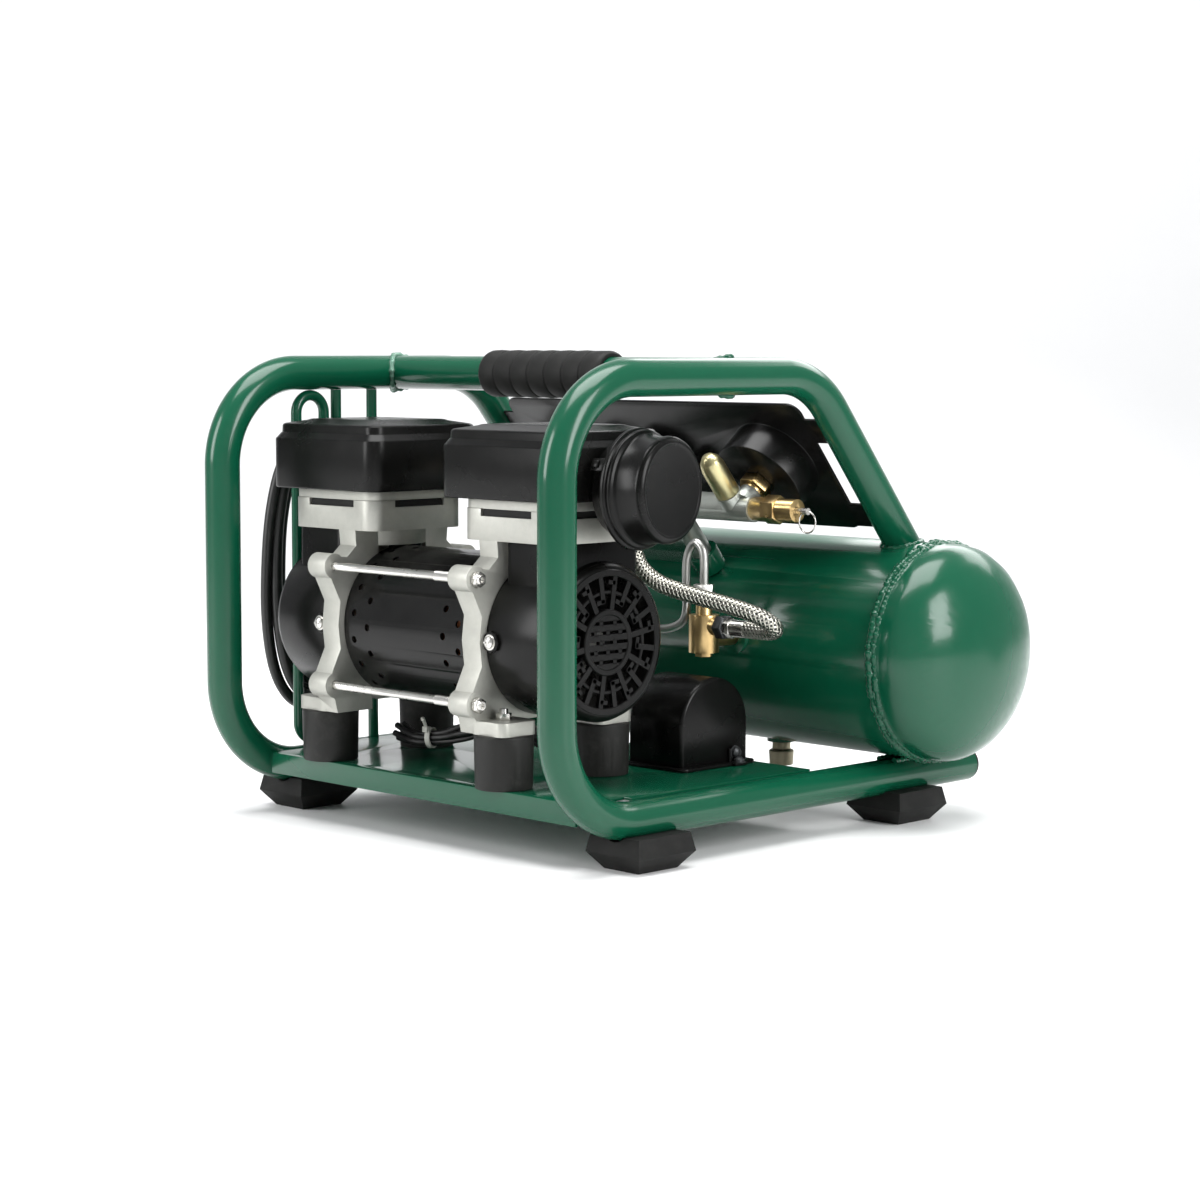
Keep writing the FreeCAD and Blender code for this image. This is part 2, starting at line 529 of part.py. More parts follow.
bracket_outline = half_outline + [(f"-({y})", z) for y, z in half_outline[::-1] if y != "0"]


def crankcase(label, sign, turn):
    """One casting: bearing bracket with four bosses, two feet and the collar under the cylinder head."""
    at = pump_centre
    web = padded(f"{label}_web", "YZ_Plane", bracket_outline, "Sizes.bracket_thick - 1",
                 (f"Sizes.pump_x + {sign} * (Sizes.bracket_inner + 0.5) - (1 - {sign}) / 2 * (Sizes.bracket_thick - 1)",
                  at[1], at[2]))
    collar_block = block(f"{label}_collar_block", "Sizes.collar_x", "Sizes.collar_y",
                         "Sizes.collar_high - Sizes.collar_low",
                         (f"Sizes.pump_x + {sign} * Sizes.cylinder_x - Sizes.collar_x / 2",
                          "Sizes.pump_y - Sizes.collar_y / 2", "Sizes.collar_low"))
    collar = rounded(f"{label}_collar", collar_block, size("collar_round"))
    solids, cutters = [web, collar], []
    for i, sy in enumerate((-1, 1)):
        for j, sz in enumerate((-1, 1)):
            where = (f"Sizes.pump_y + {sy} * Sizes.rod_y", f"Sizes.pump_z + {sz} * Sizes.rod_z")
            start = (f"Sizes.pump_x + {sign} * Sizes.bracket_inner - (1 - {sign}) / 2 * Sizes.bracket_thick", *where)
            solids.append(rod(f"{label}_boss_{i}{j}", 9, "Sizes.bracket_thick", start, ALONG_X))
            cutters.append(rod(f"{label}_rod_hole_{i}{j}", "Sizes.rod_dia / 2 + 0.2", 60,
                               (f"Sizes.pump_x + {sign} * Sizes.bracket_inner - 30", *where), ALONG_X))
        foot_at = (f"Sizes.pump_x + {sign} * Sizes.cylinder_x - 17", f"Sizes.pump_y + {sy} * Sizes.mount_y - 17",
                   "Places.mount_top + 0.05")
        solids.append(rounded(f"{label}_foot_{i}", block(f"{label}_foot_block_{i}", 34, 34, 9.4, foot_at), 7))
        cutters.append(rod(f"{label}_foot_hole_{i}", 3.2, 30,
                           (f"Sizes.pump_x + {sign} * Sizes.cylinder_x", f"Sizes.pump_y + {sy} * Sizes.mount_y",
                            "Places.mount_top - 5")))
    cutters.append(rod(f"{label}_bearing_seat", "Sizes.bearing_radius + 0.05", 60,
                       (f"Sizes.pump_x + {sign} * Sizes.bracket_inner - 30", at[1], at[2]), ALONG_X))
    cutters.append(rod(f"{label}_liner_seat", "Sizes.bore_radius + Sizes.liner_wall + 0.05", 80,
                       (f"Sizes.pump_x + {sign} * Sizes.cylinder_x", at[1], "Sizes.liner_low - 12")))
    slot_low = "Sizes.collar_high - 5"
    for i, side in enumerate((-1, 1)):
        cutters.append(block(f"{label}_slot_{i}", 50, 7, 5.1,
                             (f"Sizes.pump_x + {sign} * Sizes.cylinder_x - 25",
                              f"Sizes.pump_y + {side} * Sizes.collar_y / 2 - 3.5", slot_low)))
        cutters.append(block(f"{label}_side_slot_{i}", 7, 46, 5.1,
                             (f"Sizes.pump_x + {sign} * Sizes.cylinder_x + {side} * Sizes.collar_x / 2 - 3.5",
                              "Sizes.pump_y - 23", slot_low)))
    return keep(cut(f"{label}_casting", joined(f"{label}_solid", solids), cutters), label)


crankcase("crankcase_left", -1, HALF_TURN)
crankcase("crankcase_right", 1, UPRIGHT)

liners, plates = [], []
for i, sign in enumerate((-1, 1)):
    at_x = f"Sizes.pump_x + {sign} * Sizes.cylinder_x"
    liners.append(turned(f"liner_{i}", [("0", "Sizes.bore_radius"),
                                        ("Sizes.collar_high - Sizes.liner_low - 0.1", "Sizes.bore_radius"),
                                        ("Sizes.collar_high - Sizes.liner_low - 0.1", "Sizes.bore_radius + Sizes.liner_wall"),
                                        ("0", "Sizes.bore_radius + Sizes.liner_wall")],
                         (at_x, "Sizes.pump_y", "Sizes.liner_low"), UP_FROM_X))
    plate = block(f"valve_plate_block_{i}", "Sizes.collar_x - 1", "Sizes.collar_y - 1", "Sizes.valve_plate_thick - 0.1",
                  (f"{at_x} - Sizes.collar_x / 2 + 0.5", "Sizes.pump_y - Sizes.collar_y / 2 + 0.5",
                   "Sizes.collar_high + 0.05"))
    plate_round = rounded(f"valve_plate_round_{i}", plate, size("collar_round"))
    ports = [rod(f"valve_port_{i}{k}", 3, 30, (f"{at_x} + {dx}", "Sizes.pump_y", "Sizes.collar_high - 5"))
             for k, dx in enumerate((-14, 14))]
    plates.append(cut(f"valve_plate_{i}", plate_round, ports))
keep(joined("liner_pair", liners), "cylinder_liners")
keep(joined("valve_plate_pair", plates), "valve_plates")


def head_cover(label, sign):
    """A black cover with a stepped lid over one cylinder head, hollow from below."""
    at_x = f"Sizes.pump_x + {sign} * Sizes.cylinder_x"
    side = rounded(f"{label}_side", block(f"{label}_block", "Sizes.cover_x", "Sizes.cover_y", "Sizes.cover_side",
                   (f"{at_x} - Sizes.cover_x / 2", "Sizes.pump_y - Sizes.cover_y / 2", "Places.cover_low")),
                   size("cover_round"))
    lid = rounded(f"{label}_lid", block(f"{label}_lid_block", "Sizes.cover_x - 2 * Sizes.lid_inset",
                  "Sizes.cover_y - 2 * Sizes.lid_inset", "Sizes.lid_tall + 1",
                  (f"{at_x} - Sizes.cover_x / 2 + Sizes.lid_inset", "Sizes.pump_y - Sizes.cover_y / 2 + Sizes.lid_inset",
                   "Places.cover_high - 1")), size("cover_round") - 4)
    hollow = rounded(f"{label}_hollow", block(f"{label}_hollow_block", "Sizes.cover_x - 2 * Sizes.cover_wall",
                     "Sizes.cover_y - 2 * Sizes.cover_wall", "Sizes.cover_side - Sizes.cover_wall + 1",
                     (f"{at_x} - Sizes.cover_x / 2 + Sizes.cover_wall",
                      "Sizes.pump_y - Sizes.cover_y / 2 + Sizes.cover_wall", "Places.cover_low - 1")),
                     size("cover_round") - 3)
    crown = rounded(f"{label}_crown", block(f"{label}_crown_block", "Sizes.cover_x - 2 * Sizes.crown_inset",
                    "Sizes.cover_y - 2 * Sizes.crown_inset", "Sizes.crown_tall + 1",
                    (f"{at_x} - Sizes.cover_x / 2 + Sizes.crown_inset",
                     "Sizes.pump_y - Sizes.cover_y / 2 + Sizes.crown_inset", "Places.lid_high - 1")), 8)
    return keep(cut(f"{label}_shell", joined(f"{label}_solid", [side, lid, crown]), [hollow]), label)


head_cover("head_cover_left", -1)
head_cover("head_cover_right", 1)


def piston(label, sign):
    """A wobble piston: disc, rod and a big end whose bore leaves the eccentric room to turn."""
    at_x = f"Sizes.pump_x + {sign} * Sizes.cylinder_x"
    crown_low = "Sizes.collar_high - Places.crank_throw - 8"
    pieces = [rod(f"{label}_crown", "Sizes.bore_radius - 0.06", 6.5, (at_x, "Sizes.pump_y", crown_low)),
              block(f"{label}_stem", 9, 12, f"{crown_low} - Sizes.pump_z - Places.ring_bore + 1",
                    (f"{at_x} - 4.5", "Sizes.pump_y - 6", "Sizes.pump_z + Places.ring_bore")),
              rod(f"{label}_ring", "Places.ring_bore + 5", 9, (f"{at_x} - 4.5", "Sizes.pump_y", "Sizes.pump_z"), ALONG_X)]
    bore = rod(f"{label}_bore", "Places.ring_bore", 30, (f"{at_x} - 15", "Sizes.pump_y", "Sizes.pump_z"), ALONG_X)
    return keep(cut(f"{label}_body", joined(f"{label}_solid", pieces), [bore]), label)


piston("piston_left", -1)
piston("piston_right", 1)

# ---------------------------------------------------------------- cowls and fans
cowl_start = "Places.bracket_outer + 0.1"


def cowl(label, turn, sign, grille):
    """A round black cowl over one crankcase; its end face is a ring of slots or a plain rounded end."""
    outside = "Sizes.cowl_radius"
    body = turned(f"{label}_cup", [
        (cowl_start, f"{outside} - Sizes.cowl_wall"),
        ("Sizes.cowl_reach - Sizes.cowl_wall - 8", f"{outside} - Sizes.cowl_wall"),
        ("Sizes.cowl_reach - Sizes.cowl_wall", f"{outside} - Sizes.cowl_wall - 6"),
        ("Sizes.cowl_reach - Sizes.cowl_wall", "0"), ("Sizes.cowl_reach", "0"),
        ("Sizes.cowl_reach", f"{outside} - 5"), ("Sizes.cowl_reach - 1.6", f"{outside} - 2"),
        ("Sizes.cowl_reach - 6", outside), (cowl_start, outside)], pump_centre, turn)
    saddle_x = f"Sizes.pump_x + {sign} * ({cowl_start}) - (1 - {sign}) / 2 * 54"
    saddle = rounded(f"{label}_saddle", block(f"{label}_saddle_block", 54, "Sizes.collar_y - 10",
                     "Sizes.collar_low - Sizes.pump_z - 5.1", (saddle_x, "Sizes.pump_y - Sizes.collar_y / 2 + 5",
                                                               "Sizes.pump_z + 5")), 8)
    saddle_space = block(f"{label}_saddle_space", 54 - 4, "Sizes.collar_y - 14", "Sizes.collar_low - Sizes.pump_z - 2",
                         (f"{saddle_x} + 2", "Sizes.pump_y - Sizes.collar_y / 2 + 7", "Sizes.pump_z"))
    inside = rod(f"{label}_inside", "Sizes.cowl_radius - Sizes.cowl_wall", "54",
                 (f"Sizes.pump_x + {sign} * ({cowl_start}) - (1 - {sign}) / 2 * 54", "Sizes.pump_y",
                  "Sizes.pump_z"), ALONG_X)
    head_space = rod(f"{label}_cylinder_space", "Sizes.bore_radius + Sizes.liner_wall + 0.5", 60,
                     (f"Sizes.pump_x + {sign} * Sizes.cylinder_x", "Sizes.pump_y", "Sizes.pump_z + 30"))
    feet_space = [block(f"{label}_foot_space_{k}", 36, 36, 20,
                        (f"Sizes.pump_x + {sign} * Sizes.cylinder_x - 18",
                         f"Sizes.pump_y + {sy} * Sizes.mount_y - 18", "Places.mount_top - 5"))
                  for k, sy in enumerate((-1, 1))]
    slots = []
    for ring, (count, inner, outer, wide) in enumerate(grille):
        for k in range(count):
            angle = 360 * (k + 0.5 * ring) / count
            slot = doc.addObject("Part::Box", f"{label}_slot_{ring}_{k}")
            slot.Length, slot.Width, slot.Height = 12, wide, outer - inner
            turn_slot = Rotation(X_AXIS, angle)
            slot.Placement = Placement(turn_slot.multVec(Vector(0, -wide / 2, inner)), turn_slot)
            slots.append(slot)
    cutters = [head_space, saddle_space, inside] + feet_space
    if slots:
        group = joined(f"{label}_slots", slots)
        locate(group, (f"Sizes.pump_x + {sign} * Sizes.cowl_reach - 6", "Sizes.pump_y", "Sizes.pump_z"))
        cutters.append(group)
    return keep(cut(f"{label}_shell", joined(f"{label}_solid", [body, saddle]), cutters), label)


cowl("end_cowl_left", HALF_TURN, -1, [])
cowl("fan_cowl_right", UPRIGHT, 1, [(8, 8, 19, 4), (18, 26, 36, 4), (22, 38, 46, 5)])


def fan(label, sign, turn):
    """A hub with blades on the end of the shaft."""
    hub = turned(f"{label}_hub", [("Sizes.cowl_reach - 30", "Sizes.shaft_radius + 0.02"),
                                  ("Sizes.cowl_reach - 12", "Sizes.shaft_radius + 0.02"),
                                  ("Sizes.cowl_reach - 12", "14"), ("Sizes.cowl_reach - 30", "14")], pump_centre, turn)
    blades = []
    for k in range(7):
        blade = doc.addObject("Part::Box", f"{label}_blade_{k}")
        blade.Length, blade.Width = 15, 2
        blade.setExpression("Height", "Sizes.fan_radius - 13")
        pitch = Rotation(X_AXIS, 360 * k / 7).multiply(Rotation(Z_AXIS, 32))
        blade.Placement = Placement(pitch.multVec(Vector(-7.5, -1, 13)), pitch)
        blades.append(blade)
    group = joined(f"{label}_blades", blades)
    locate(group, (f"Sizes.pump_x + {sign} * (Sizes.cowl_reach - 21)", "Sizes.pump_y", "Sizes.pump_z"))
    return keep(joined(f"{label}_wheel", [hub, group]), label)


fan("fan_left", -1, HALF_TURN)
fan("fan_right", 1, UPRIGHT)

# ---------------------------------------------------------------- pump fasteners and mounts
tie_rods, mounts, bolts, cowl_screws = [], [], [], []
for i, sy in enumerate((-1, 1)):
    for j, sz in enumerate((-1, 1)):
        where = (f"Sizes.pump_y + {sy} * Sizes.rod_y", f"Sizes.pump_z + {sz} * Sizes.rod_z")
        reach = "(Places.bracket_outer + 4.5)"
        tie_rods.append(rod(f"tie_rod_{i}{j}", "Sizes.rod_dia / 2", f"2 * {reach}",
                            (f"Sizes.pump_x - {reach}", *where), ALONG_X))
        for k, side in enumerate((-1, 1)):
            nut = primitive("Prism", f"tie_nut_{i}{j}{k}",
                            (f"Sizes.pump_x + {side} * (Places.bracket_outer + 2.1) - 2", *where), ALONG_X,
                            Circumradius=5.6, Height=4)
            tie_rods.append(nut)
    for k, side in enumerate((-1, 1)):
        at = (f"Sizes.pump_x + {side} * Sizes.cylinder_x", f"Sizes.pump_y + {sy} * Sizes.mount_y")
        mount = turned(f"mount_{i}{k}", [("0.05", "0"), ("0.05", "Sizes.mount_radius - 0.8"),
                                         ("Sizes.mount_tall - 1", "Sizes.mount_radius"),
                                         ("Sizes.mount_tall", "Sizes.mount_radius - 1"), ("Sizes.mount_tall", "0")],
                       (*at, "Places.plate_top"), UP_FROM_X)
        hole = rod(f"mount_hole_{i}{k}", 3.1, 60, (*at, "Places.plate_top - 5"))
        mounts.append(cut(f"mount_bored_{i}{k}", mount, [hole]))
        nut_low = "Places.mount_top + 9.6"
        bolts.append(joined(f"mount_bolt_{i}{k}", [
            rod(f"mount_stud_{i}{k}", 3, "Sizes.mount_tall + 24", (*at, "Places.plate_top - 7")),
            primitive("Prism", f"mount_nut_{i}{k}", (*at, nut_low), UPRIGHT, Circumradius=5.6, Height=4.5),
            primitive("Prism", f"mount_low_nut_{i}{k}", (*at, "Places.plate_top - 6.9"), UPRIGHT,
                      Circumradius=5.6, Height=4.8)]))
        cowl_screws.append(rod(f"cowl_screw_{i}{k}", 3.6, 3,
                               (f"Sizes.pump_x + {side} * (Places.bracket_outer + 6)",
                                f"Sizes.pump_y + {sy} * (Sizes.cowl_radius + 1.6) - 1.5", "Sizes.pump_z"), ALONG_Y))
keep(joined("pump_fastener_group", tie_rods + cowl_screws), "pump_fasteners")
keep(joined("mount_group", mounts), "vibration_mounts")
keep(joined("frame_fastener_group", bolts + foot_screws), "frame_fasteners")

# ---------------------------------------------------------------- intake filter
filter_turn = Rotation(Z_AXIS, size("filter_turn"))
filter_at = ("Places.filter_back", "Sizes.filter_y", "Sizes.filter_z")
canister = turned("canister_cup", [
    ("6", "0"), ("6", "Sizes.filter_neck"), ("14", "Sizes.filter_neck"), ("15", "Sizes.filter_radius"),
    ("Sizes.filter_long - 12", "Sizes.filter_radius"), ("Sizes.filter_long - 10", "Sizes.filter_radius - 3"),
    ("Sizes.filter_long - 3", "Sizes.filter_radius - 4"), ("Sizes.filter_long", "Sizes.filter_radius - 7"),
    ("Sizes.filter_long", "0"), ("Sizes.filter_long - 2", "0"), ("Sizes.filter_long - 2", "Sizes.filter_radius - 9"),
    ("14", "Sizes.filter_radius - 9"), ("14", "0")], filter_at, filter_turn)
stub = rod("canister_stub", 12, 16, (f"{filter_at[0]} + 0.1", filter_at[1], filter_at[2]), ALONG_X)
keep(joined("canister", [canister, stub]), "filter_canister")
keep(turned("element", [("15", "14"), ("Sizes.filter_long - 3", "14"), ("Sizes.filter_long - 3", "Sizes.filter_radius - 10"),
                        ("15", "Sizes.filter_radius - 10")], filter_at, filter_turn), "filter_element")

# ---------------------------------------------------------------- delivery pipework
valve_at = ("Sizes.valve_x", "Sizes.valve_y")
check_pieces = [
    rod("check_barrel", "Sizes.valve_radius", "Sizes.valve_high - Sizes.valve_low - 3", (*valve_at, "Sizes.valve_low + 3")),
    primitive("Prism", "check_cap", (*valve_at, "Sizes.valve_low"), UPRIGHT, Circumradius=6.5, Height=3.1),
    rod("check_neck", 6, 10, (*valve_at, "Sizes.valve_high - 1")),
    rod("check_stub", "Sizes.bung_bore - 0.1", "Sizes.tank_y - Sizes.tank_radius - Sizes.valve_y + 2",
        (*valve_at, "Sizes.valve_low + 12"), ALONG_Y),
    rod("check_side", 6.5, 17, (*valve_at, "Sizes.valve_high - 8"), ALONG_X)]
keep(joined("check_valve", check_pieces), "check_valve")

HOSE = [(66.0, -62.9, 222.0), (66.0, -50.0, 222.0), (68.0, -38.0, 207.0), (71.0, -29.5, 188.0),
        (79.0, -20.5, 177.0), (92.0, -12.0, 171.0), (108.0, -3.0, 166.0), (126.0, 6.5, 161.0), (142.0, 15.5, 155.0),
        (149.5, 23.5, 148.0), (147.5, 30.0, 143.5), (136.0, 32.3, 142.0), (117.0, 32.3, 142.0)]
flexible("hose", [Vector(*p) for p in HOSE], size("hose_dia"), "braided_hose")
PIPE = [(75.0, 32.3, 172.1), (75.0, 32.3, 188.0), (71.5, 32.3, 200.0), (63.0, 32.3, 200.5), (57.5, 32.3, 188.0),
        (57.5, 32.3, 168.0), (58.0, 33.0, 152.0), (52.0, 34.0, 141.0), (40.0, 34.0, 136.5), (24.0, 34.0, 135.5),
        (6.0, 34.0, 135.0)]
flexible("pipe", [Vector(*p) for p in PIPE], size("pipe_dia"), "unload_tube")
keep(joined("fittings", [
    primitive("Prism", "pipe_nut", (*valve_at, "Sizes.valve_high + 9.1"), UPRIGHT, Circumradius=8, Height=12.9),
    primitive("Prism", "hose_nut", ("Sizes.valve_x + 17.1", "Sizes.valve_y", "Sizes.valve_high - 8"), ALONG_X,
              Circumradius=7.4, Height=12),
    rod("hose_ferrule", 6.2, 12.8, ("Sizes.valve_x + 29.1", "Sizes.valve_y", "Sizes.valve_high - 8"), ALONG_X),
    rod("hose_start", 7, 14.5, (66, "Sizes.pump_y + Sizes.collar_y / 2 + 0.1", 222), ALONG_Y)]), "pipe_fittings")

# ---------------------------------------------------------------- control panel
PANEL_TURN = Rotation(X_AXIS, -size("slope_angle"))


def on_panel(across, down, out):
    """A point given across, down and out of the panel, as three expressions in the row's axes."""
    cos, sin = round(math.cos(math.radians(size("slope_angle"))), 6), round(math.sin(math.radians(size("slope_angle"))), 6)
    return (str(across), f"Sizes.panel_y + ({down}) * {cos} + ({out}) * {sin}",
            f"Sizes.panel_z - ({down}) * {sin} + ({out}) * {cos}")


def panel_rod(name, radius, length, across, down, out):
    """A cylinder that stands on the panel and runs outwards from it."""
    return rod(name, radius, length, on_panel(across, down, out), PANEL_TURN)


def control_panel():
    """The sheet on the slope, with its pressed cup, its tabs and the holes for the controls."""
    thick = "Sizes.panel_thick"
    sheet_block = block("panel_block", "2 * Sizes.panel_half", "Sizes.panel_long", thick,
                        on_panel("-Sizes.panel_half", "-Sizes.panel_long / 2", 0), PANEL_TURN)
    doc.recompute()
    normal = PANEL_TURN.multVec(Z_AXIS)
    sheet = rounded("panel_sheet", sheet_block, 10, normal)
    tabs = [block(f"panel_tab_{k}", "Places.side_x - Places.tube_r - Sizes.panel_half + 5", 22, thick,
                  on_panel(x, y, 0), PANEL_TURN)
            for k, (x, y) in enumerate((
                ("Sizes.panel_half - 5.1", "Sizes.panel_long / 2 - 24"), ("Sizes.panel_half - 5.1", "-Sizes.panel_long / 2 + 14"),
                ("-Places.side_x + Places.tube_r + 0.1", "Sizes.panel_long / 2 - 24"),
                ("-Places.side_x + Places.tube_r + 0.1", "-Sizes.panel_long / 2 + 14")))]
    cup = panel_rod("cup_outside", "Sizes.cup_radius", "Sizes.cup_deep", "Sizes.cup_x", "-Sizes.cup_rise",
                    "-Sizes.cup_deep")
    holes = [panel_rod("cup_inside", "Sizes.cup_radius - 2", "Sizes.cup_deep + 10", "Sizes.cup_x", "-Sizes.cup_rise",
                       "-Sizes.cup_deep + 2"),
             panel_rod("coupler_hole", "Sizes.coupler_radius - 2", 60, "Sizes.cup_x", "-Sizes.cup_rise",
                       "-Sizes.cup_deep - 20"),
             panel_rod("knob_hole", 6.5, 30, "Sizes.knob_x", 0, -15),
             block("switch_hole", 28.4, 21.4, 30, on_panel("Sizes.switch_x - 14.2", -10.7, -15), PANEL_TURN)]
    for k, gauge_x in enumerate(("Sizes.gauge_left_x", "Sizes.gauge_right_x")):
        holes.append(panel_rod(f"gauge_hole_{k}", "Sizes.gauge_radius + 0.2", 30, gauge_x, 0, -15))
    keep(cut("panel", joined("panel_solid", [sheet] + tabs + [cup]), holes), "control_panel")


control_panel()

TO_PANEL_TOP = PANEL_TURN.multiply(Rotation(X_AXIS, 90))
TO_PANEL_FOOT = PANEL_TURN.multiply(Rotation(X_AXIS, -90))
deep = "-Sizes.manifold_deep"
valve_start = "Sizes.manifold_x + Sizes.manifold_long + 0.1"
keep(joined("manifold_body", [
    rod("manifold_barrel", "Sizes.manifold_radius", "Sizes.manifold_long", on_panel("Sizes.manifold_x", 0, deep), ALONG_X),
    rod("manifold_branch", "Sizes.manifold_radius - 0.5", 14, on_panel("Sizes.bonnet_x", 0, deep), TO_PANEL_TOP),
    rod("manifold_port", 8.5, "Sizes.manifold_deep - Sizes.cup_deep - 10.6",
        on_panel("Sizes.cup_x", "-Sizes.cup_rise", deep), PANEL_TURN),
    rod("manifold_nipple", 8, 53, on_panel("Sizes.nipple_x", 0, deep), TO_PANEL_FOOT)]), "manifold")
keep(turned("bonnet", [("0", "0"), ("0", "9"), ("25", "9"), ("31", "7.4"), ("35", "4"), ("36", "0")],
            on_panel("Sizes.bonnet_x", -14.1, deep), PANEL_TURN.multiply(Rotation(Z_AXIS, -90))), "regulator_bonnet")
keep(cut("safety_body", joined("safety_solid", [
    rod("safety_collar", 8.6, 12, on_panel(valve_start, 0, deep), ALONG_X),
    primitive("Prism", "safety_hex", on_panel(f"{valve_start} + 11.9", 0, deep), ALONG_X, Circumradius=10.5, Height=12),
    rod("safety_barrel", 8.2, 16, on_panel(f"{valve_start} + 23.8", 0, deep), ALONG_X)]),
    [rod("safety_bore", 2.6, 60, on_panel(f"{valve_start} + 12", 0, deep), ALONG_X)]), "safety_valve_body")
ring_at = on_panel(f"{valve_start} + 49.2", 0, deep)
ring = primitive("Torus", "pull_ring", (ring_at[0], ring_at[1], f"{ring_at[2]} - 7.6"), Rotation(X_AXIS, 90),
                 Radius1=7.6, Radius2=0.6)
keep(joined("safety_pull", [
    rod("safety_stem", 2.5, 37, on_panel(f"{valve_start} + 13", 0, deep), ALONG_X), ring]), "safety_valve_stem")

cup_floor = "-Sizes.cup_deep"
cup_at = ("Sizes.cup_x", "-Sizes.cup_rise")
keep(cut("coupler", joined("coupler_solid", [
    panel_rod("coupler_shank", "Sizes.coupler_radius - 2.05", 26, *cup_at, f"{cup_floor} - 10.5"),
    primitive("Prism", "coupler_hex", on_panel(*cup_at, f"{cup_floor} + 2.1"), PANEL_TURN, Circumradius=11.5, Height=8),
    primitive("Prism", "coupler_nut", on_panel(*cup_at, f"{cup_floor} - 8.1"), PANEL_TURN, Circumradius=12, Height=8),
    panel_rod("coupler_barrel", "Sizes.coupler_radius", 34, *cup_at, f"{cup_floor} + 10")]),
    [panel_rod("coupler_bore", "Sizes.coupler_bore", 80, *cup_at, f"{cup_floor} - 12")]), "coupler_body")
keep(cut("sleeve", panel_rod("sleeve_outside", "Sizes.coupler_radius + 3.5", 17, *cup_at, f"{cup_floor} + 25"),
         [panel_rod("sleeve_bore", "Sizes.coupler_radius + 0.06", 60, *cup_at, f"{cup_floor} + 10")]), "coupler_sleeve")

keep(joined("knob", [
    panel_rod("knob_spindle", 6.2, 26, "Sizes.knob_x", 0, -12),
    panel_rod("knob_cap", "Sizes.knob_radius", 22, "Sizes.knob_x", 0, 6)]), "regulator_knob")
gauges, needles = [], []
for k, gauge_x in enumerate(("Sizes.gauge_left_x", "Sizes.gauge_right_x")):
    can = panel_rod(f"gauge_can_{k}", "Sizes.gauge_radius", "Sizes.gauge_deep", gauge_x, 0, "-Sizes.gauge_deep + 6")
    recess = panel_rod(f"gauge_recess_{k}", "Sizes.gauge_radius - 2", 10, gauge_x, 0, 1)
    socket = panel_rod(f"gauge_socket_{k}", 1.3, 10, gauge_x, 0, -4)
    back = rod(f"gauge_stem_{k}", 5, 12, on_panel(gauge_x, 0, "-Sizes.gauge_deep - 5"), PANEL_TURN)
    gauges.append(joined(f"gauge_whole_{k}", [cut(f"gauge_{k}", can, [recess, socket]), back]))
    needle = padded(f"needle_arm_{k}", "XY_Plane", [("-0.8", "-4"), ("0.8", "-4"), ("0.3", "15"), ("-0.3", "15")],
                    0.6, on_panel(gauge_x, 0, 2.2), PANEL_TURN.multiply(Rotation(Z_AXIS, -45)))
    needles.append(joined(f"needle_{k}", [needle, panel_rod(f"needle_hub_{k}", 1.25, 5.5, gauge_x, 0, -2.6)]))
keep(joined("gauge_pair", gauges), "pressure_gauges")
keep(needles[0], "outlet_needle")
keep(needles[1], "tank_needle")

switch_box = block("switch_case_block", 28, 21, 26, on_panel("Sizes.switch_x - 14", -10.5, -20), PANEL_TURN)
switch_lip = block("switch_lip", 32, 25, 1.9, on_panel("Sizes.switch_x - 16", -12.5, "Sizes.panel_thick + 0.1"), PANEL_TURN)
switch_well = block("switch_well", 22, 15, 30, on_panel("Sizes.switch_x - 11", -7.5, -12), PANEL_TURN)
keep(cut("switch_case", joined("switch_case_solid", [switch_box, switch_lip]), [switch_well]), "switch_housing")
rocker_centre = on_panel("Sizes.switch_x - 10.5", 0, -3)
rocker_shape = padded("rocker_shape", "YZ_Plane", [("-6.6", "0"), ("-5.2", "8.6"), ("0", "6.8"), ("5.2", "8.6"),
                                                   ("6.6", "0"), ("0", "-3")], 21, rocker_centre, PANEL_TURN)
rocker_pin = rod("rocker_pin", 2, 21.6, on_panel("Sizes.switch_x - 10.8", 0, -3), ALONG_X)
keep(joined("rocker", [rocker_shape, rocker_pin]), "power_rocker")

# ---------------------------------------------------------------- capacitor
box_low = "Places.plate_top + 0.05"
dome_r = "Sizes.box_wide / 2"
box_centre = "Sizes.box_y"
box_solid = joined("box_solid", [
    block("box_base", "Sizes.box_long", "Sizes.box_wide", f"Sizes.box_tall - {dome_r}",
          ("Sizes.box_x", f"{box_centre} - {dome_r}", box_low)),
    rod("box_dome", dome_r, "Sizes.box_long", ("Sizes.box_x", box_centre, f"{box_low} + Sizes.box_tall - {dome_r}"), ALONG_X),
    block("box_flange", "Sizes.box_long + 16", 20, 3, ("Sizes.box_x - 2", f"{box_centre} + 10", box_low))])
box_hollow = joined("box_hollow", [
    block("box_base_hollow", "Sizes.box_long - 5", "Sizes.box_wide - 5", f"Sizes.box_tall - {dome_r}",
          ("Sizes.box_x + 2.5", f"{box_centre} - {dome_r} + 2.5", f"{box_low} - 0.1")),
    rod("box_dome_hollow", f"{dome_r} - 2.5", "Sizes.box_long - 5",
        ("Sizes.box_x + 2.5", box_centre, f"{box_low} + Sizes.box_tall - {dome_r}"), ALONG_X)])
box_under = block("box_under", "Sizes.box_long + 10", "Sizes.box_wide + 10", 30,
                  ("Sizes.box_x - 5", f"{box_centre} - {dome_r} - 5", f"{box_low} - 30"))
keep(cut("box", box_solid, [box_hollow, box_under]), "capacitor_box")
keep(rod("capacitor_can", 20, "Sizes.box_long - 10", ("Sizes.box_x + 5", box_centre, f"{box_low} + 20.1"), ALONG_X), "capacitor")

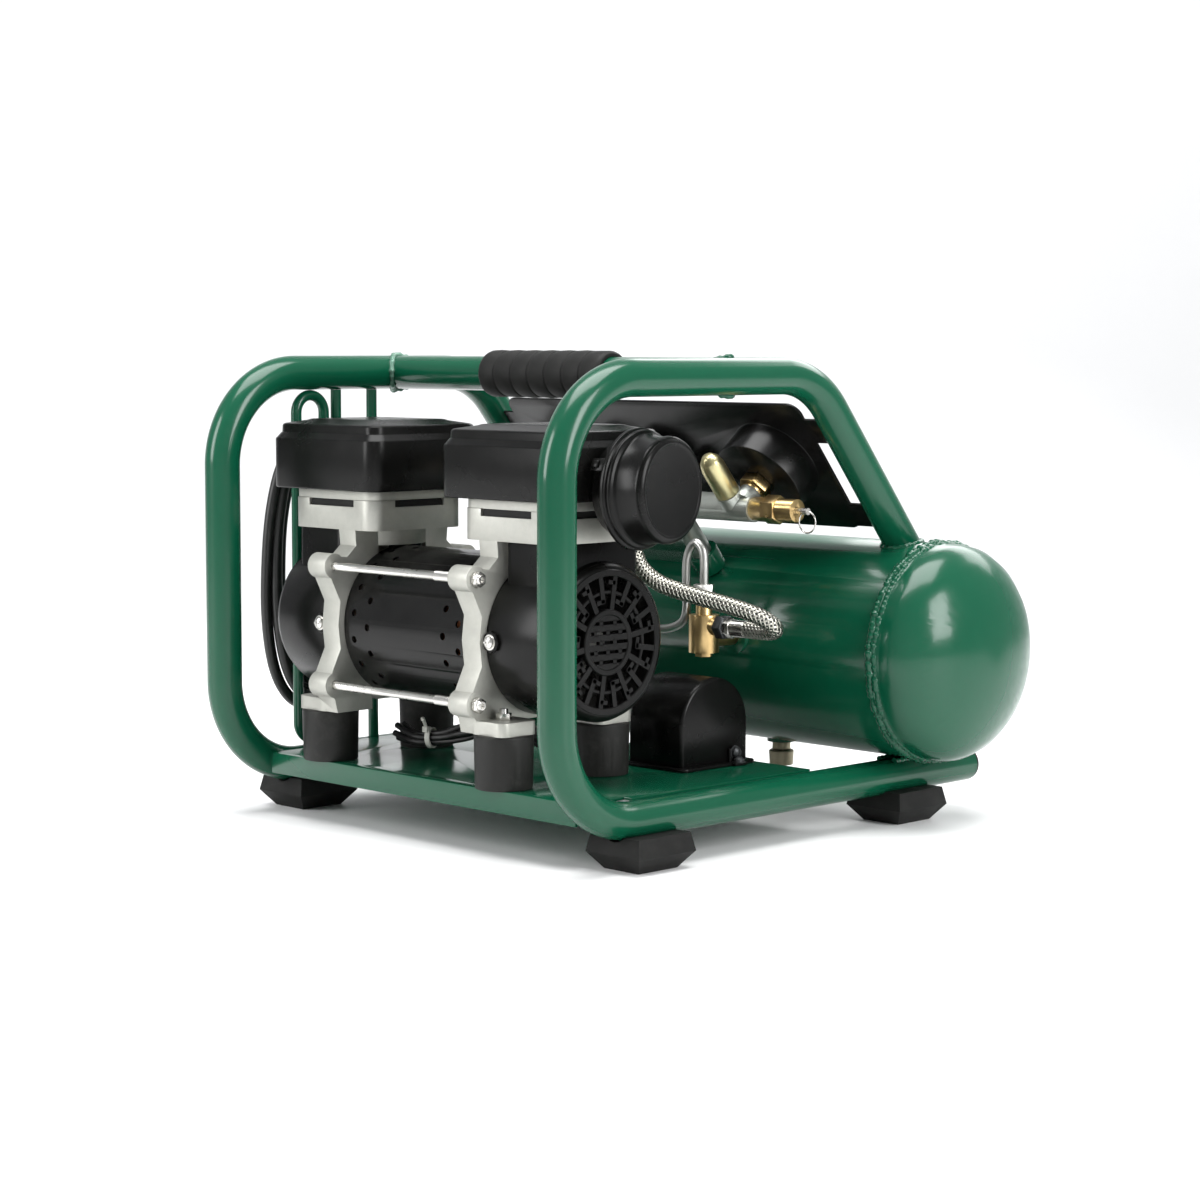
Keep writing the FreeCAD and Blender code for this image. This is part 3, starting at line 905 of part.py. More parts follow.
# ---------------------------------------------------------------- wiring
HARNESS = [(-88.0, -118.0, 62.0), (-66.0, -120.0, 60.0), (-46.0, -112.0, 62.0), (-24.0, -108.0, 70.0),
           (0.0, -106.0, 76.0), (22.0, -96.0, 70.0), (36.0, -80.0, 62.0), (44.0, -58.0, 60.0), (48.0, -40.0, 62.0)]
flexible("harness", [Vector(*p) for p in HARNESS], 12.0, "wiring_harness")
tie_run = Vector(*HARNESS[2]) - Vector(*HARNESS[1])
tie_middle = (Vector(*HARNESS[2]) + Vector(*HARNESS[1])) * 0.5
tie_start = tie_middle - tie_run.normalize() * 2
tie_turn = Rotation(Z_AXIS, tie_run)
keep(cut("tie", rod("tie_outside", 7.6, 4, tuple(tie_start), tie_turn),
         [rod("tie_inside", 6.1, 4, tuple(tie_start), tie_turn)]), "zip_tie")

# ---------------------------------------------------------------- cord
def hank_solid():
    """The outside shape of the coiled cord: an upright ring with straight sides."""
    half, low, high = size("hank_wide") / 2, size("hank_low"), size("hank_high")
    x, y, thick = size("hank_x") - size("hank_thick") / 2, size("hank_y"), size("hank_thick")

    def racetrack(inset):
        radius = half - inset
        bottom, top = low + half, high - half
        wire = Part.Wire([
            Part.LineSegment(Vector(x, y - radius, bottom), Vector(x, y - radius, top)).toShape(),
            Part.Arc(Vector(x, y - radius, top), Vector(x, y, top + radius), Vector(x, y + radius, top)).toShape(),
            Part.LineSegment(Vector(x, y + radius, top), Vector(x, y + radius, bottom)).toShape(),
            Part.Arc(Vector(x, y + radius, bottom), Vector(x, y, bottom - radius), Vector(x, y - radius, bottom)).toShape()])
        return Part.Face(wire).extrude(Vector(thick, 0, 0))

    return racetrack(0).cut(racetrack(size("hank_band")))


shaped("hank", hank_solid(), "cord_hank")
hank_rear = size("hank_y") + size("hank_wide") / 2
CORD = [(-146.2, 71.15, 248.5), (-156.0, 71.15, 248.5), (-168.0, 62.0, 243.0), (-182.0, 46.0, 235.0),
        (-194.0, 26.0, 226.0), (-201.5, 2.0, 216.5), (-204.0, -22.0, 208.0), (-204.0, -40.0, 204.0)]
cord_points = [Vector(*p) for p in CORD] + [Vector(size("hank_x"), hank_rear, 204.0)]
flexible("cord", cord_points, size("cord_dia"), "power_cord")
keep(turned("gland", [("0", "0"), ("0", "6"), ("5", "6"), ("5", "5.6"), ("16", "4.8"), ("16", "0")],
            on_panel("Sizes.switch_x - 14.1", 0, -14), HALF_TURN), "strain_relief")
plug_y = f"Sizes.hank_y + Sizes.hank_wide / 2 + 13.1"
keep(joined("plug_pieces", [
    block("plug_body", 26, 26, "Sizes.plug_long", ("Sizes.hank_x - 13", f"{plug_y} - 13", 96)),
    block("plug_blade_a", 1.5, 6.3, 17, ("Sizes.hank_x - 7.1", f"{plug_y} - 3", 79.5)),
    block("plug_blade_b", 1.5, 6.3, 17, ("Sizes.hank_x + 5.6", f"{plug_y} - 3", 79.5)),
    rod("plug_earth", 2.4, 21, ("Sizes.hank_x", f"{plug_y} + 7.5", 75.5))]), "power_plug")

# ---------------------------------------------------------------- checks and files
doc.recompute()
for obj in doc.Objects:
    if "Invalid" in obj.State or "Error" in obj.State:
        raise RuntimeError(f"{obj.Name} failed: {obj.State}")
os.makedirs("parts", exist_ok=True)
for obj in nodes:
    if obj.Shape.isNull() or not obj.Shape.isValid() or not obj.Shape.Solids:
        raise RuntimeError(f"{obj.Label} has no valid solid")
    obj.Shape.exportStep(f"parts/{obj.Label}.step")
print(len(nodes), "sub-parts written")
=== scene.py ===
"""A portable oil-free air compressor in a tube frame, as a detailed visible model.

Every sub-assembly is a class with its own sizes in millimetres. Each one refines the engineering
parts of the frame it belongs to, adds its small hardware, and rides the body that it is fixed to.
The frame's axes: +X from the left side frame to the right one, +Y from pump to tank, +Z up.
"""

import json
import logging
import math
from collections.abc import Sequence
from dataclasses import dataclass
from enum import Enum

import bmesh
import bpy
from mathutils import Matrix, Quaternion, Vector, noise

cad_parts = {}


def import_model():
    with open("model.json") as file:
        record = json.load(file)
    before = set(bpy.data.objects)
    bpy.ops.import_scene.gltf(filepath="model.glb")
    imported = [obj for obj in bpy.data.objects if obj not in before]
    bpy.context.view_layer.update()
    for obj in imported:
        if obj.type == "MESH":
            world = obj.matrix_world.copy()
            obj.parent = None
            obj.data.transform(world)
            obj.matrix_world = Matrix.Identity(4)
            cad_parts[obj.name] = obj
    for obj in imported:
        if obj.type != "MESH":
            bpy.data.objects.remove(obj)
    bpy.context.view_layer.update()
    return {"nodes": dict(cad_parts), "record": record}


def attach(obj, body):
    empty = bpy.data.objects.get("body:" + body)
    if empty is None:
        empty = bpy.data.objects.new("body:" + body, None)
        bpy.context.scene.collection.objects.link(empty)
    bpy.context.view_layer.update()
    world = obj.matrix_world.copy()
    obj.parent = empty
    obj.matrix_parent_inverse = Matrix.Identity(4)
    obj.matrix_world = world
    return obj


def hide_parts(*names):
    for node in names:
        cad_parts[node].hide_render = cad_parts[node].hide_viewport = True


MM = 0.001
LOG = logging.getLogger("air_compressor")
SHARP_ANGLE = 38.0  # degrees; edges sharper than this stay crisp
MERGE = 2e-6  # metres; points closer than this are one

Point = tuple[float, float, float]
Pair = tuple[float, float]
Outline = Sequence[Pair]
AXIS_X, AXIS_Y, AXIS_Z = Vector((1, 0, 0)), Vector((0, 1, 0)), Vector((0, 0, 1))


class Body(str, Enum):
    """The rigid bodies of the machine that visible pieces can ride."""

    CAGE = "cage"
    KNOB = "pressure_knob"
    ROCKER = "rocker"
    TANK_POINTER = "tank_pointer"
    OUTLET_POINTER = "outlet_pointer"
    SLEEVE = "sleeve"
    RELIEF = "relief_stem"
    DRAIN = "drain"


# ---------------------------------------------------------------- finishes
@dataclass(frozen=True)
class Finish:
    """One surface finish.

    Attributes:
        slot: material slot of the record that the finish belongs to.
        colour: linear base colour.
        metallic: 0 for plastics and paint, 1 for bare metal.
        roughness: middle of the roughness range.
        spread: how far roughness and colour wander over the surface.
        grain: height of the fine surface grain, in metres.
        grain_size: grains per metre of surface.
        coat: weight of a clear coat over the base.
        wear: how much pale dust and rubbing shows.
        specular: strength of the reflections of a non-metal.
    """

    slot: str
    colour: tuple[float, float, float]
    metallic: float = 0.0
    roughness: float = 0.4
    spread: float = 0.08
    grain: float = 0.00003
    grain_size: float = 900.0
    coat: float = 0.0
    wear: float = 0.03
    specular: float = 0.5


GREEN = Finish("green_paint", (0.0020, 0.064, 0.031), roughness=0.22, spread=0.04, grain=0.000008,
               grain_size=300.0, coat=0.16, wear=0.004, specular=0.30)
WELD = Finish("green_paint", (0.080, 0.180, 0.130), metallic=0.25, roughness=0.42, spread=0.25, grain=0.00030,
              grain_size=900.0, wear=0.30)
BLACK_MATT = Finish("black_plastic", (0.0042, 0.0042, 0.0039), roughness=0.46, grain=0.00002, grain_size=2600.0,
                    wear=0.015, specular=0.15)
BLACK_GLOSS = Finish("gloss_black", (0.0032, 0.0032, 0.0030), roughness=0.28, spread=0.05, grain=0.00001,
                     grain_size=1900.0, wear=0.010, specular=0.16)
BLACK_PAINT = Finish("black_paint", (0.0040, 0.0040, 0.0038), roughness=0.24, spread=0.04, grain=0.00001,
                     grain_size=420.0, specular=0.22, wear=0.01)
CAST = Finish("cast_aluminium", (0.41, 0.41, 0.375), metallic=0.75, roughness=0.50, spread=0.12, grain=0.00009,
              grain_size=1500.0, wear=0.05)
STEEL = Finish("steel", (0.62, 0.61, 0.58), metallic=1.0, roughness=0.26, spread=0.10)
BRASS = Finish("brass", (0.52, 0.37, 0.17), metallic=1.0, roughness=0.34, spread=0.10, grain=0.00004)
AGED_BRASS = Finish("brass", (0.30, 0.27, 0.19), metallic=0.9, roughness=0.42, spread=0.12, grain=0.00006)
OLIVE_BRASS = Finish("brass", (0.50, 0.45, 0.25), metallic=1.0, roughness=0.34, spread=0.08, grain=0.00002)
ZINC_CAST = Finish("brass", (0.38, 0.40, 0.37), metallic=0.9, roughness=0.42, spread=0.12, grain=0.00008)
RUBBER = Finish("dark_rubber", (0.0085, 0.0085, 0.0080), roughness=0.60, grain=0.00004, grain_size=2200.0, wear=0.02,
                specular=0.18)
MOUNT_RUBBER = Finish("grey_rubber", (0.0100, 0.0100, 0.0090), roughness=0.52, grain=0.00004, grain_size=1800.0,
                      wear=0.05, specular=0.25)
CORD_SKIN = Finish("cord_skin", (0.0055, 0.0055, 0.0052), roughness=0.42, spread=0.05, grain=0.00002)
BRAID = Finish("braid", (0.44, 0.43, 0.38), metallic=1.0, roughness=0.30, spread=0.10)
TUBE_METAL = Finish("clear_pipe", (0.50, 0.50, 0.48), metallic=1.0, roughness=0.34, spread=0.08)
PAPER = Finish("paper", (0.62, 0.56, 0.42), roughness=0.9)
COPPER = Finish("copper", (0.45, 0.16, 0.07), metallic=0.7, roughness=0.4)
RED = Finish("needle_red", (0.55, 0.02, 0.01), roughness=0.35)
DIAL = Finish("gauge_face", (0.80, 0.80, 0.77), roughness=0.45)
CHROME = Finish("gauge_face", (0.78, 0.78, 0.78), metallic=1.0, roughness=0.12, spread=0.03)
WIRE = Finish("wire", (0.010, 0.010, 0.010), roughness=0.45)
NYLON = Finish("nylon", (0.55, 0.55, 0.50), roughness=0.5)
DARK_STEEL = Finish("steel", (0.055, 0.058, 0.060), metallic=0.8, roughness=0.42)

COAT_ROUGHNESS = 0.09
DUST_COLOUR = (0.42, 0.41, 0.38, 1.0)
_MATERIALS: dict[Finish, bpy.types.Material] = {}


def material(finish: Finish) -> bpy.types.Material:
    """Makes the procedural material of a finish, once.

    Args:
        finish: the finish to make.

    Returns:
        The Blender material.
    """
    if finish in _MATERIALS:
        return _MATERIALS[finish]
    mat = bpy.data.materials.new(f"finish_{len(_MATERIALS):02d}_{finish.slot}")
    mat.use_nodes = True
    tree = mat.node_tree
    links, make = tree.links, tree.nodes.new
    shader = tree.nodes["Principled BSDF"]
    shader.inputs["Metallic"].default_value = finish.metallic
    shader.inputs["Specular IOR Level"].default_value = finish.specular
    shader.inputs["Coat Weight"].default_value = finish.coat
    shader.inputs["Coat Roughness"].default_value = COAT_ROUGHNESS
    where = make("ShaderNodeTexCoord")

    def cloud(scale: float, detail: float, rough: float = 0.55) -> bpy.types.NodeSocket:
        """Makes a noise texture in object space.

        Args:
            scale: clouds per metre.
            detail: how many finer layers it has.
            rough: strength of the finer layers.

        Returns:
            The socket with its values.
        """
        tex = make("ShaderNodeTexNoise")
        tex.inputs["Scale"].default_value = scale
        tex.inputs["Detail"].default_value = detail
        tex.inputs["Roughness"].default_value = rough
        links.new(where.outputs["Object"], tex.inputs["Vector"])
        return tex.outputs["Fac"]

    def ranged(values: bpy.types.NodeSocket, found: tuple[float, float],
               wanted: tuple[float, float]) -> bpy.types.NodeSocket:
        """Stretches values from one range to another.

        Args:
            values: the socket with the values.
            found: ends of the range they are in.
            wanted: ends of the range they should be in.

        Returns:
            The socket with the stretched values.
        """
        span = make("ShaderNodeMapRange")
        span.inputs["From Min"].default_value, span.inputs["From Max"].default_value = found
        span.inputs["To Min"].default_value, span.inputs["To Max"].default_value = wanted
        links.new(values, span.inputs["Value"])
        return span.outputs["Result"]

    gloss = (max(0.03, finish.roughness - finish.spread), min(1.0, finish.roughness + finish.spread))
    links.new(ranged(cloud(14.0, 4.0), (0.3, 0.7), gloss), shader.inputs["Roughness"])
    tint, dusty, bump = make("ShaderNodeMix"), make("ShaderNodeMix"), make("ShaderNodeBump")
    tint.data_type = dusty.data_type = "RGBA"
    tint.inputs[6].default_value = (*(c * (1 - finish.spread) for c in finish.colour), 1.0)
    tint.inputs[7].default_value = (*(min(1.0, c * (1 + finish.spread)) for c in finish.colour), 1.0)
    links.new(cloud(170.0, 3.0, 0.65), tint.inputs[0])
    dusty.inputs[7].default_value = DUST_COLOUR
    links.new(ranged(cloud(46.0, 6.0, 0.7), (0.48, 0.85), (0.0, finish.wear)), dusty.inputs[0])
    links.new(tint.outputs[2], dusty.inputs[6])
    links.new(dusty.outputs[2], shader.inputs["Base Color"])
    bump.inputs["Strength"].default_value = 1.0
    bump.inputs["Distance"].default_value = finish.grain
    links.new(cloud(finish.grain_size, 2.0, 0.5), bump.inputs["Height"])
    links.new(bump.outputs["Normal"], shader.inputs["Normal"])
    _MATERIALS[finish] = mat
    return mat


# ---------------------------------------------------------------- shapes
def vec(point: Point | Vector) -> Vector:
    """A point given in millimetres, in metres."""
    return Vector(point) * MM


def facing(direction: Vector) -> Matrix:
    """A rotation that turns +Z to a direction."""
    return direction.to_track_quat("Z", "Y").to_matrix().to_4x4()


def placed(at: Point | Vector, direction: Vector | None = None) -> Matrix:
    """A place in millimetres, with its Z axis along a direction."""
    turn = facing(Vector(direction)) if direction is not None else Matrix.Identity(4)
    return Matrix.Translation(vec(at)) @ turn


def shifted(x: float, y: float, z: float) -> Matrix:
    """A shift in millimetres."""
    return Matrix.Translation((x * MM, y * MM, z * MM))


def circle(radius: float, along: float, count: int, place: Matrix) -> list[Vector]:
    """Points round a place's Z axis.

    Args:
        radius: radius in millimetres.
        along: height on the axis in millimetres.
        count: how many points.
        place: the place that carries the axis.

    Returns:
        The points, in metres.
    """
    angles = [2 * math.pi * k / count for k in range(count)]
    return [place @ (Vector((math.cos(a) * radius, math.sin(a) * radius, along)) * MM) for a in angles]


def carried_frames(path: list[Vector], closed: bool = False) -> list[tuple[Vector, Vector, Vector]]:
    """Directions along a line that turn as little as possible from point to point.

    Args:
        path: points in metres.
        closed: whether the last point joins the first one.

    Returns:
        At each point, the line's direction and two directions across it.
    """
    count, normal, frames = len(path), None, []
    for i, point in enumerate(path):
        before = path[i - 1] if i > 0 or closed else point
        after = path[(i + 1) % count] if i < count - 1 or closed else point
        tangent = (after - before).normalized()
        if normal is None:
            normal = tangent.orthogonal().normalized()
        normal = (normal - tangent * normal.dot(tangent)).normalized()
        frames.append((tangent, normal, tangent.cross(normal)))
    return frames


def linked(name: str, data: bpy.types.ID) -> bpy.types.Object:
    """Makes an object of some data and puts it in the scene.

    Args:
        name: the object's name.
        data: its mesh, curve, light or camera.

    Returns:
        The new object.
    """
    obj = bpy.data.objects.new(name, data)
    bpy.context.scene.collection.objects.link(obj)
    return obj


def shade(mesh: bpy.types.Mesh, angle: float = SHARP_ANGLE) -> None:
    """Shades a mesh smooth, but leaves its sharp edges crisp.

    Args:
        mesh: the mesh.
        angle: edges sharper than this stay crisp, in degrees.
    """
    for face in mesh.polygons:
        face.use_smooth = True
    mesh.set_sharp_from_angle(angle=math.radians(angle))


def round_edges(obj: bpy.types.Object, width: float, segments: int, angle: float = SHARP_ANGLE) -> None:
    """Adds a modifier that rounds an object's sharp edges.

    Args:
        obj: the object.
        width: width of the rounding, in millimetres.
        segments: steps in the rounding.
        angle: edges sharper than this are rounded, in degrees.
    """
    rounder = obj.modifiers.new("edges", "BEVEL")
    rounder.width, rounder.segments = width * MM, segments
    rounder.limit_method, rounder.angle_limit = "ANGLE", math.radians(angle)


class Draft:
    """A mesh being drawn from lathe turnings, sweeps, prisms and boxes, in millimetres."""

    def __init__(self) -> None:
        """Starts an empty mesh."""
        self.mesh = bmesh.new()

    def grid(self, rings: list[list[Vector]], close_around: bool, close_along: bool = False,
             caps: bool = False) -> "Draft":
        """Joins rings of points into a skin.

        Args:
            rings: rings of equally many points, in metres.
            close_around: whether each ring's last point joins its first.
            close_along: whether the last ring joins the first.
            caps: whether the first and the last ring are closed with a face.

        Returns:
            This draft.
        """
        made = [[self.mesh.verts.new(p) for p in ring] for ring in rings]
        count = len(made[0])
        around = count if close_around else count - 1
        for i in range(len(made) if close_along else len(made) - 1):
            a, b = made[i], made[(i + 1) % len(made)]
            for k in range(around):
                quad = (a[k], a[(k + 1) % count], b[(k + 1) % count], b[k])
                self.mesh.faces.new(quad)
        if caps and not close_along:
            self.mesh.faces.new(made[0][::-1])
            self.mesh.faces.new(made[-1])
        return self

    def lathe(self, outline: Outline, place: Matrix, segments: int = 48, closed: bool = False) -> "Draft":
        """Turns an outline about an axis.

        Args:
            outline: pairs of height along the axis and radius, in millimetres.
            place: the place whose Z axis is the axis.
            segments: points round the axis.
            closed: whether the outline is a closed loop, as for a ring.

        Returns:
            This draft.
        """
        rings = [circle(max(radius, 0.001), along, segments, place) for along, radius in outline]
        return self.grid(rings, True, closed, caps=not closed)

    def prism(self, outline: Outline, depth: float, place: Matrix) -> "Draft":
        """Pads a closed outline along a place's Z axis.

        Args:
            outline: corners of the outline, in millimetres.
            depth: height of the pad, in millimetres.
            place: the place that the outline lies on.

        Returns:
            This draft.
        """
        low, high = ([place @ (Vector((x, y, z)) * MM) for x, y in outline] for z in (0, depth))
        return self.grid([low, high], True, caps=True)

    def nut(self, across: float, depth: float, place: Matrix) -> "Draft":
        """Draws a chamfered hexagon.

        Args:
            across: size across the flats, in millimetres.
            depth: height, in millimetres.
            place: the place that it stands on.

        Returns:
            This draft.
        """
        corner = across / math.sqrt(3)
        outline = ((0, corner * 0.93), (depth * 0.14, corner), (depth * 0.86, corner), (depth, corner * 0.93))
        return self.grid([circle(radius, along, 6, place) for along, radius in outline], True, caps=True)

    def box(self, lengths: Point, place: Matrix) -> "Draft":
        """A block centred on a place."""
        x, y, z = (v / 2 for v in lengths)
        return self.prism([(-x, -y), (x, -y), (x, y), (-x, y)], 2 * z, place @ Matrix.Translation((0, 0, -z * MM)))

    def sweep(self, path: list[Vector], radius: float | list[float], segments: int = 20, closed: bool = False,
              flat: float = 1.0) -> "Draft":
        """Draws a round or flattened bar along a line.

        Args:
            path: points in metres.
            radius: one radius, or one for each point, in millimetres.
            segments: points round the bar.
            closed: whether the bar is a closed ring.
            flat: thickness of the bar against its width.

        Returns:
            This draft.
        """
        rings: list[list[Vector]] = []
        for i, (_, normal, side) in enumerate(carried_frames(path, closed)):
            reach = (radius[i] if isinstance(radius, list) else radius) * MM
            rings.append([path[i] + (normal * math.cos(2 * math.pi * k / segments)
                                     + side * math.sin(2 * math.pi * k / segments) * flat) * reach
                          for k in range(segments)])
        return self.grid(rings, True, closed, caps=not closed)

    def loose(self, name: str) -> bpy.types.Mesh:
        """Turns the draft into a mesh.

        Args:
            name: name of the mesh.

        Returns:
            The mesh, with its faces outwards.
        """
        bmesh.ops.recalc_face_normals(self.mesh, faces=self.mesh.faces)
        data = bpy.data.meshes.new(name)
        self.mesh.to_mesh(data)
        self.mesh.free()
        return data

    def finish(self, name: str, body: Body, finish: Finish, replaces: tuple[str, ...] = (), bevel: float = 0.0,
               angle: float = SHARP_ANGLE) -> bpy.types.Object:
        """Turns the draft into an object that rides a body.

        Args:
            name: name of the piece.
            body: the body that carries it.
            finish: surface finish.
            replaces: engineering parts that it stands for.
            bevel: width of the rounding of sharp edges, in millimetres.
            angle: edges sharper than this stay crisp, in degrees.

        Returns:
            The finished object, at the origin.
        """
        bmesh.ops.remove_doubles(self.mesh, verts=self.mesh.verts, dist=MERGE)
        return settle(name, self.loose(name), body, finish, replaces, bevel, angle)


def settle(name: str, data: bpy.types.Mesh, body: Body, finish: Finish, replaces: tuple[str, ...] = (),
           bevel: float = 0.0, angle: float = SHARP_ANGLE, segments: int = 2) -> bpy.types.Object:
    """Makes a piece of a mesh: rounds its edges, shades it, and makes it ride a body.

    Args:
        name: name of the piece.
        data: its mesh, in its place.
        body: the body that carries it.
        finish: surface finish.
        replaces: engineering parts that it stands for.
        bevel: width of the rounding of sharp edges, in millimetres.
        angle: edges sharper than this stay crisp, in degrees.
        segments: steps in the rounding.

    Returns:
        The piece.
    """
    obj = linked(name, data)
    if bevel > 0:
        round_edges(obj, bevel, segments, angle)
        bake(obj)
    shade(obj.data, angle)
    obj.data.materials.clear()
    obj.data.materials.append(material(finish))
    if replaces:
        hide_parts(*replaces)
    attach(obj, body.value)
    LOG.info("%s rides %s, finish %s, %d faces", name, body.value, finish.slot, len(obj.data.polygons))
    return obj


def bake(obj: bpy.types.Object) -> None:
    """Applies an object's modifiers to its mesh.

    Args:
        obj: the object.
    """
    graph = bpy.context.evaluated_depsgraph_get()
    mesh = bpy.data.meshes.new_from_object(obj.evaluated_get(graph))
    old = obj.data
    obj.modifiers.clear()
    obj.data = mesh
    bpy.data.meshes.remove(old)


def refined(node: str, nodes: dict[str, bpy.types.Object], body: Body, finish: Finish, bevel: float = 0.6,
            angle: float = SHARP_ANGLE, segments: int = 2) -> bpy.types.Object:
    """Makes the visible piece of an engineering part, with merged faces and rounded edges.

    Args:
        node: the engineering part's name.
        nodes: the engineering parts, by name.
        body: the body that carries it.
        finish: surface finish.
        bevel: width of the rounding of sharp edges, in millimetres.
        angle: edges sharper than this stay crisp, in degrees.
        segments: steps in the rounding.

    Returns:
        The piece that stands for the part.
    """
    draft = bmesh.new()
    draft.from_mesh(nodes[node].data)
    bmesh.ops.remove_doubles(draft, verts=draft.verts, dist=3e-6)
    bmesh.ops.dissolve_limit(draft, angle_limit=math.radians(0.6), verts=draft.verts, edges=draft.edges)
    bmesh.ops.dissolve_degenerate(draft, dist=MERGE, edges=draft.edges)
    data = bpy.data.meshes.new(f"{node}_skin")
    draft.to_mesh(data)
    draft.free()
    return settle(f"{node}_skin", data, body, finish, (node,), bevel, angle, segments)


def bent_path(corners: Sequence[Point], radius: float, step: float = 3.0) -> list[Vector]:
    """A line of straight runs joined by tangent arcs.

    Args:
        corners: the ends and the sharp corners, in millimetres.
        radius: radius of the arcs, in millimetres.
        step: distance between points on an arc, in millimetres.

    Returns:
        Points along the line, in metres.
    """
    path, here = [Vector(corners[0])], Vector(corners[0])
    for before, corner, after in zip(corners, corners[1:], corners[2:]):
        into = (Vector(corner) - Vector(before)).normalized()
        out = (Vector(after) - Vector(corner)).normalized()
        turn = into.angle(out)
        back = radius * math.tan(turn / 2)
        first, last = Vector(corner) - into * back, Vector(corner) + out * back
        centre = Vector(corner) + (out - into).normalized() * radius / math.cos(turn / 2)
        spin = into.cross(out).normalized()
        if (first - here).length > 1e-3:
            path.append(first)
        pieces = max(4, round(radius * turn / step))
        for k in range(1, pieces + 1):
            path.append(centre + Quaternion(spin, turn * k / pieces) @ (first - centre))
        here = last
    path.append(Vector(corners[-1]))
    return [p * MM for p in path]


def smooth_path(points: Sequence[Point], per_run: int = 8) -> list[Vector]:
    """A smooth line through given points (Catmull-Rom).

    Args:
        points: the points, in millimetres.
        per_run: steps from one of them to the next.

    Returns:
        Points along the line, in metres.
    """
    pts = [Vector(p) for p in points]
    pts = [pts[0] * 2 - pts[1]] + pts + [pts[-1] * 2 - pts[-2]]
    out = []
    for i in range(1, len(pts) - 2):
        a, b, c, d = pts[i - 1:i + 3]
        for k in range(per_run):
            t = k / per_run
            out.append((b * 2 + (c - a) * t + (a * 2 - b * 5 + c * 4 - d) * t * t
                        + (b * 3 - a - c * 3 + d) * t ** 3) * 0.5 * MM)
    out.append(pts[-2] * MM)
    return out


def bead(name: str, line: list[Vector], radius: float, closed: bool, finish: Finish = GREEN, seed: int = 3,
         rough: float = 0.28) -> bpy.types.Object:
    """Makes a weld bead: a lumpy bar of overlapping puddles along a line.

    Args:
        name: name of the piece.
        line: points in metres.
        radius: radius of the bead, in millimetres.
        closed: whether the bead runs all the way round.
        finish: surface finish.
        seed: picks the pattern of the lumps.
        rough: height of the lumps against the radius.

    Returns:
        The bead, on the cage.
    """
    spaced = resampled(line, 0.9 * MM, closed)
    radii = []
    for i, p in enumerate(spaced):
        ripple = 0.5 + 0.5 * math.cos(i * 1.45)
        radii.append(radius * (0.80 + 0.20 * ripple + rough * noise.noise(p * 260 + Vector((seed, 0, 0)))))
    return Draft().sweep(spaced, radii, 10, closed).finish(name, Body.CAGE, finish, angle=60)


def resampled(line: list[Vector], step: float, closed: bool = False) -> list[Vector]:
    """The same line with evenly spaced points.

    Args:
        line: points in metres.
        step: distance between the new points, in metres.
        closed: whether the last point joins the first one.

    Returns:
        The new points, in metres.
    """
    pts = line + [line[0]] if closed else list(line)
    total = sum((b - a).length for a, b in zip(pts, pts[1:]))
    count = max(4, round(total / step))
    out, run, i = [], 0.0, 0
    for k in range(count + (0 if closed else 1)):
        target = total * k / count
        while i < len(pts) - 2 and run + (pts[i + 1] - pts[i]).length < target:
            run += (pts[i + 1] - pts[i]).length
            i += 1
        seg = (pts[i + 1] - pts[i])
        share = (target - run) / seg.length if seg.length > 0 else 0
        out.append(pts[i] + seg * min(max(share, 0), 1))
    return out


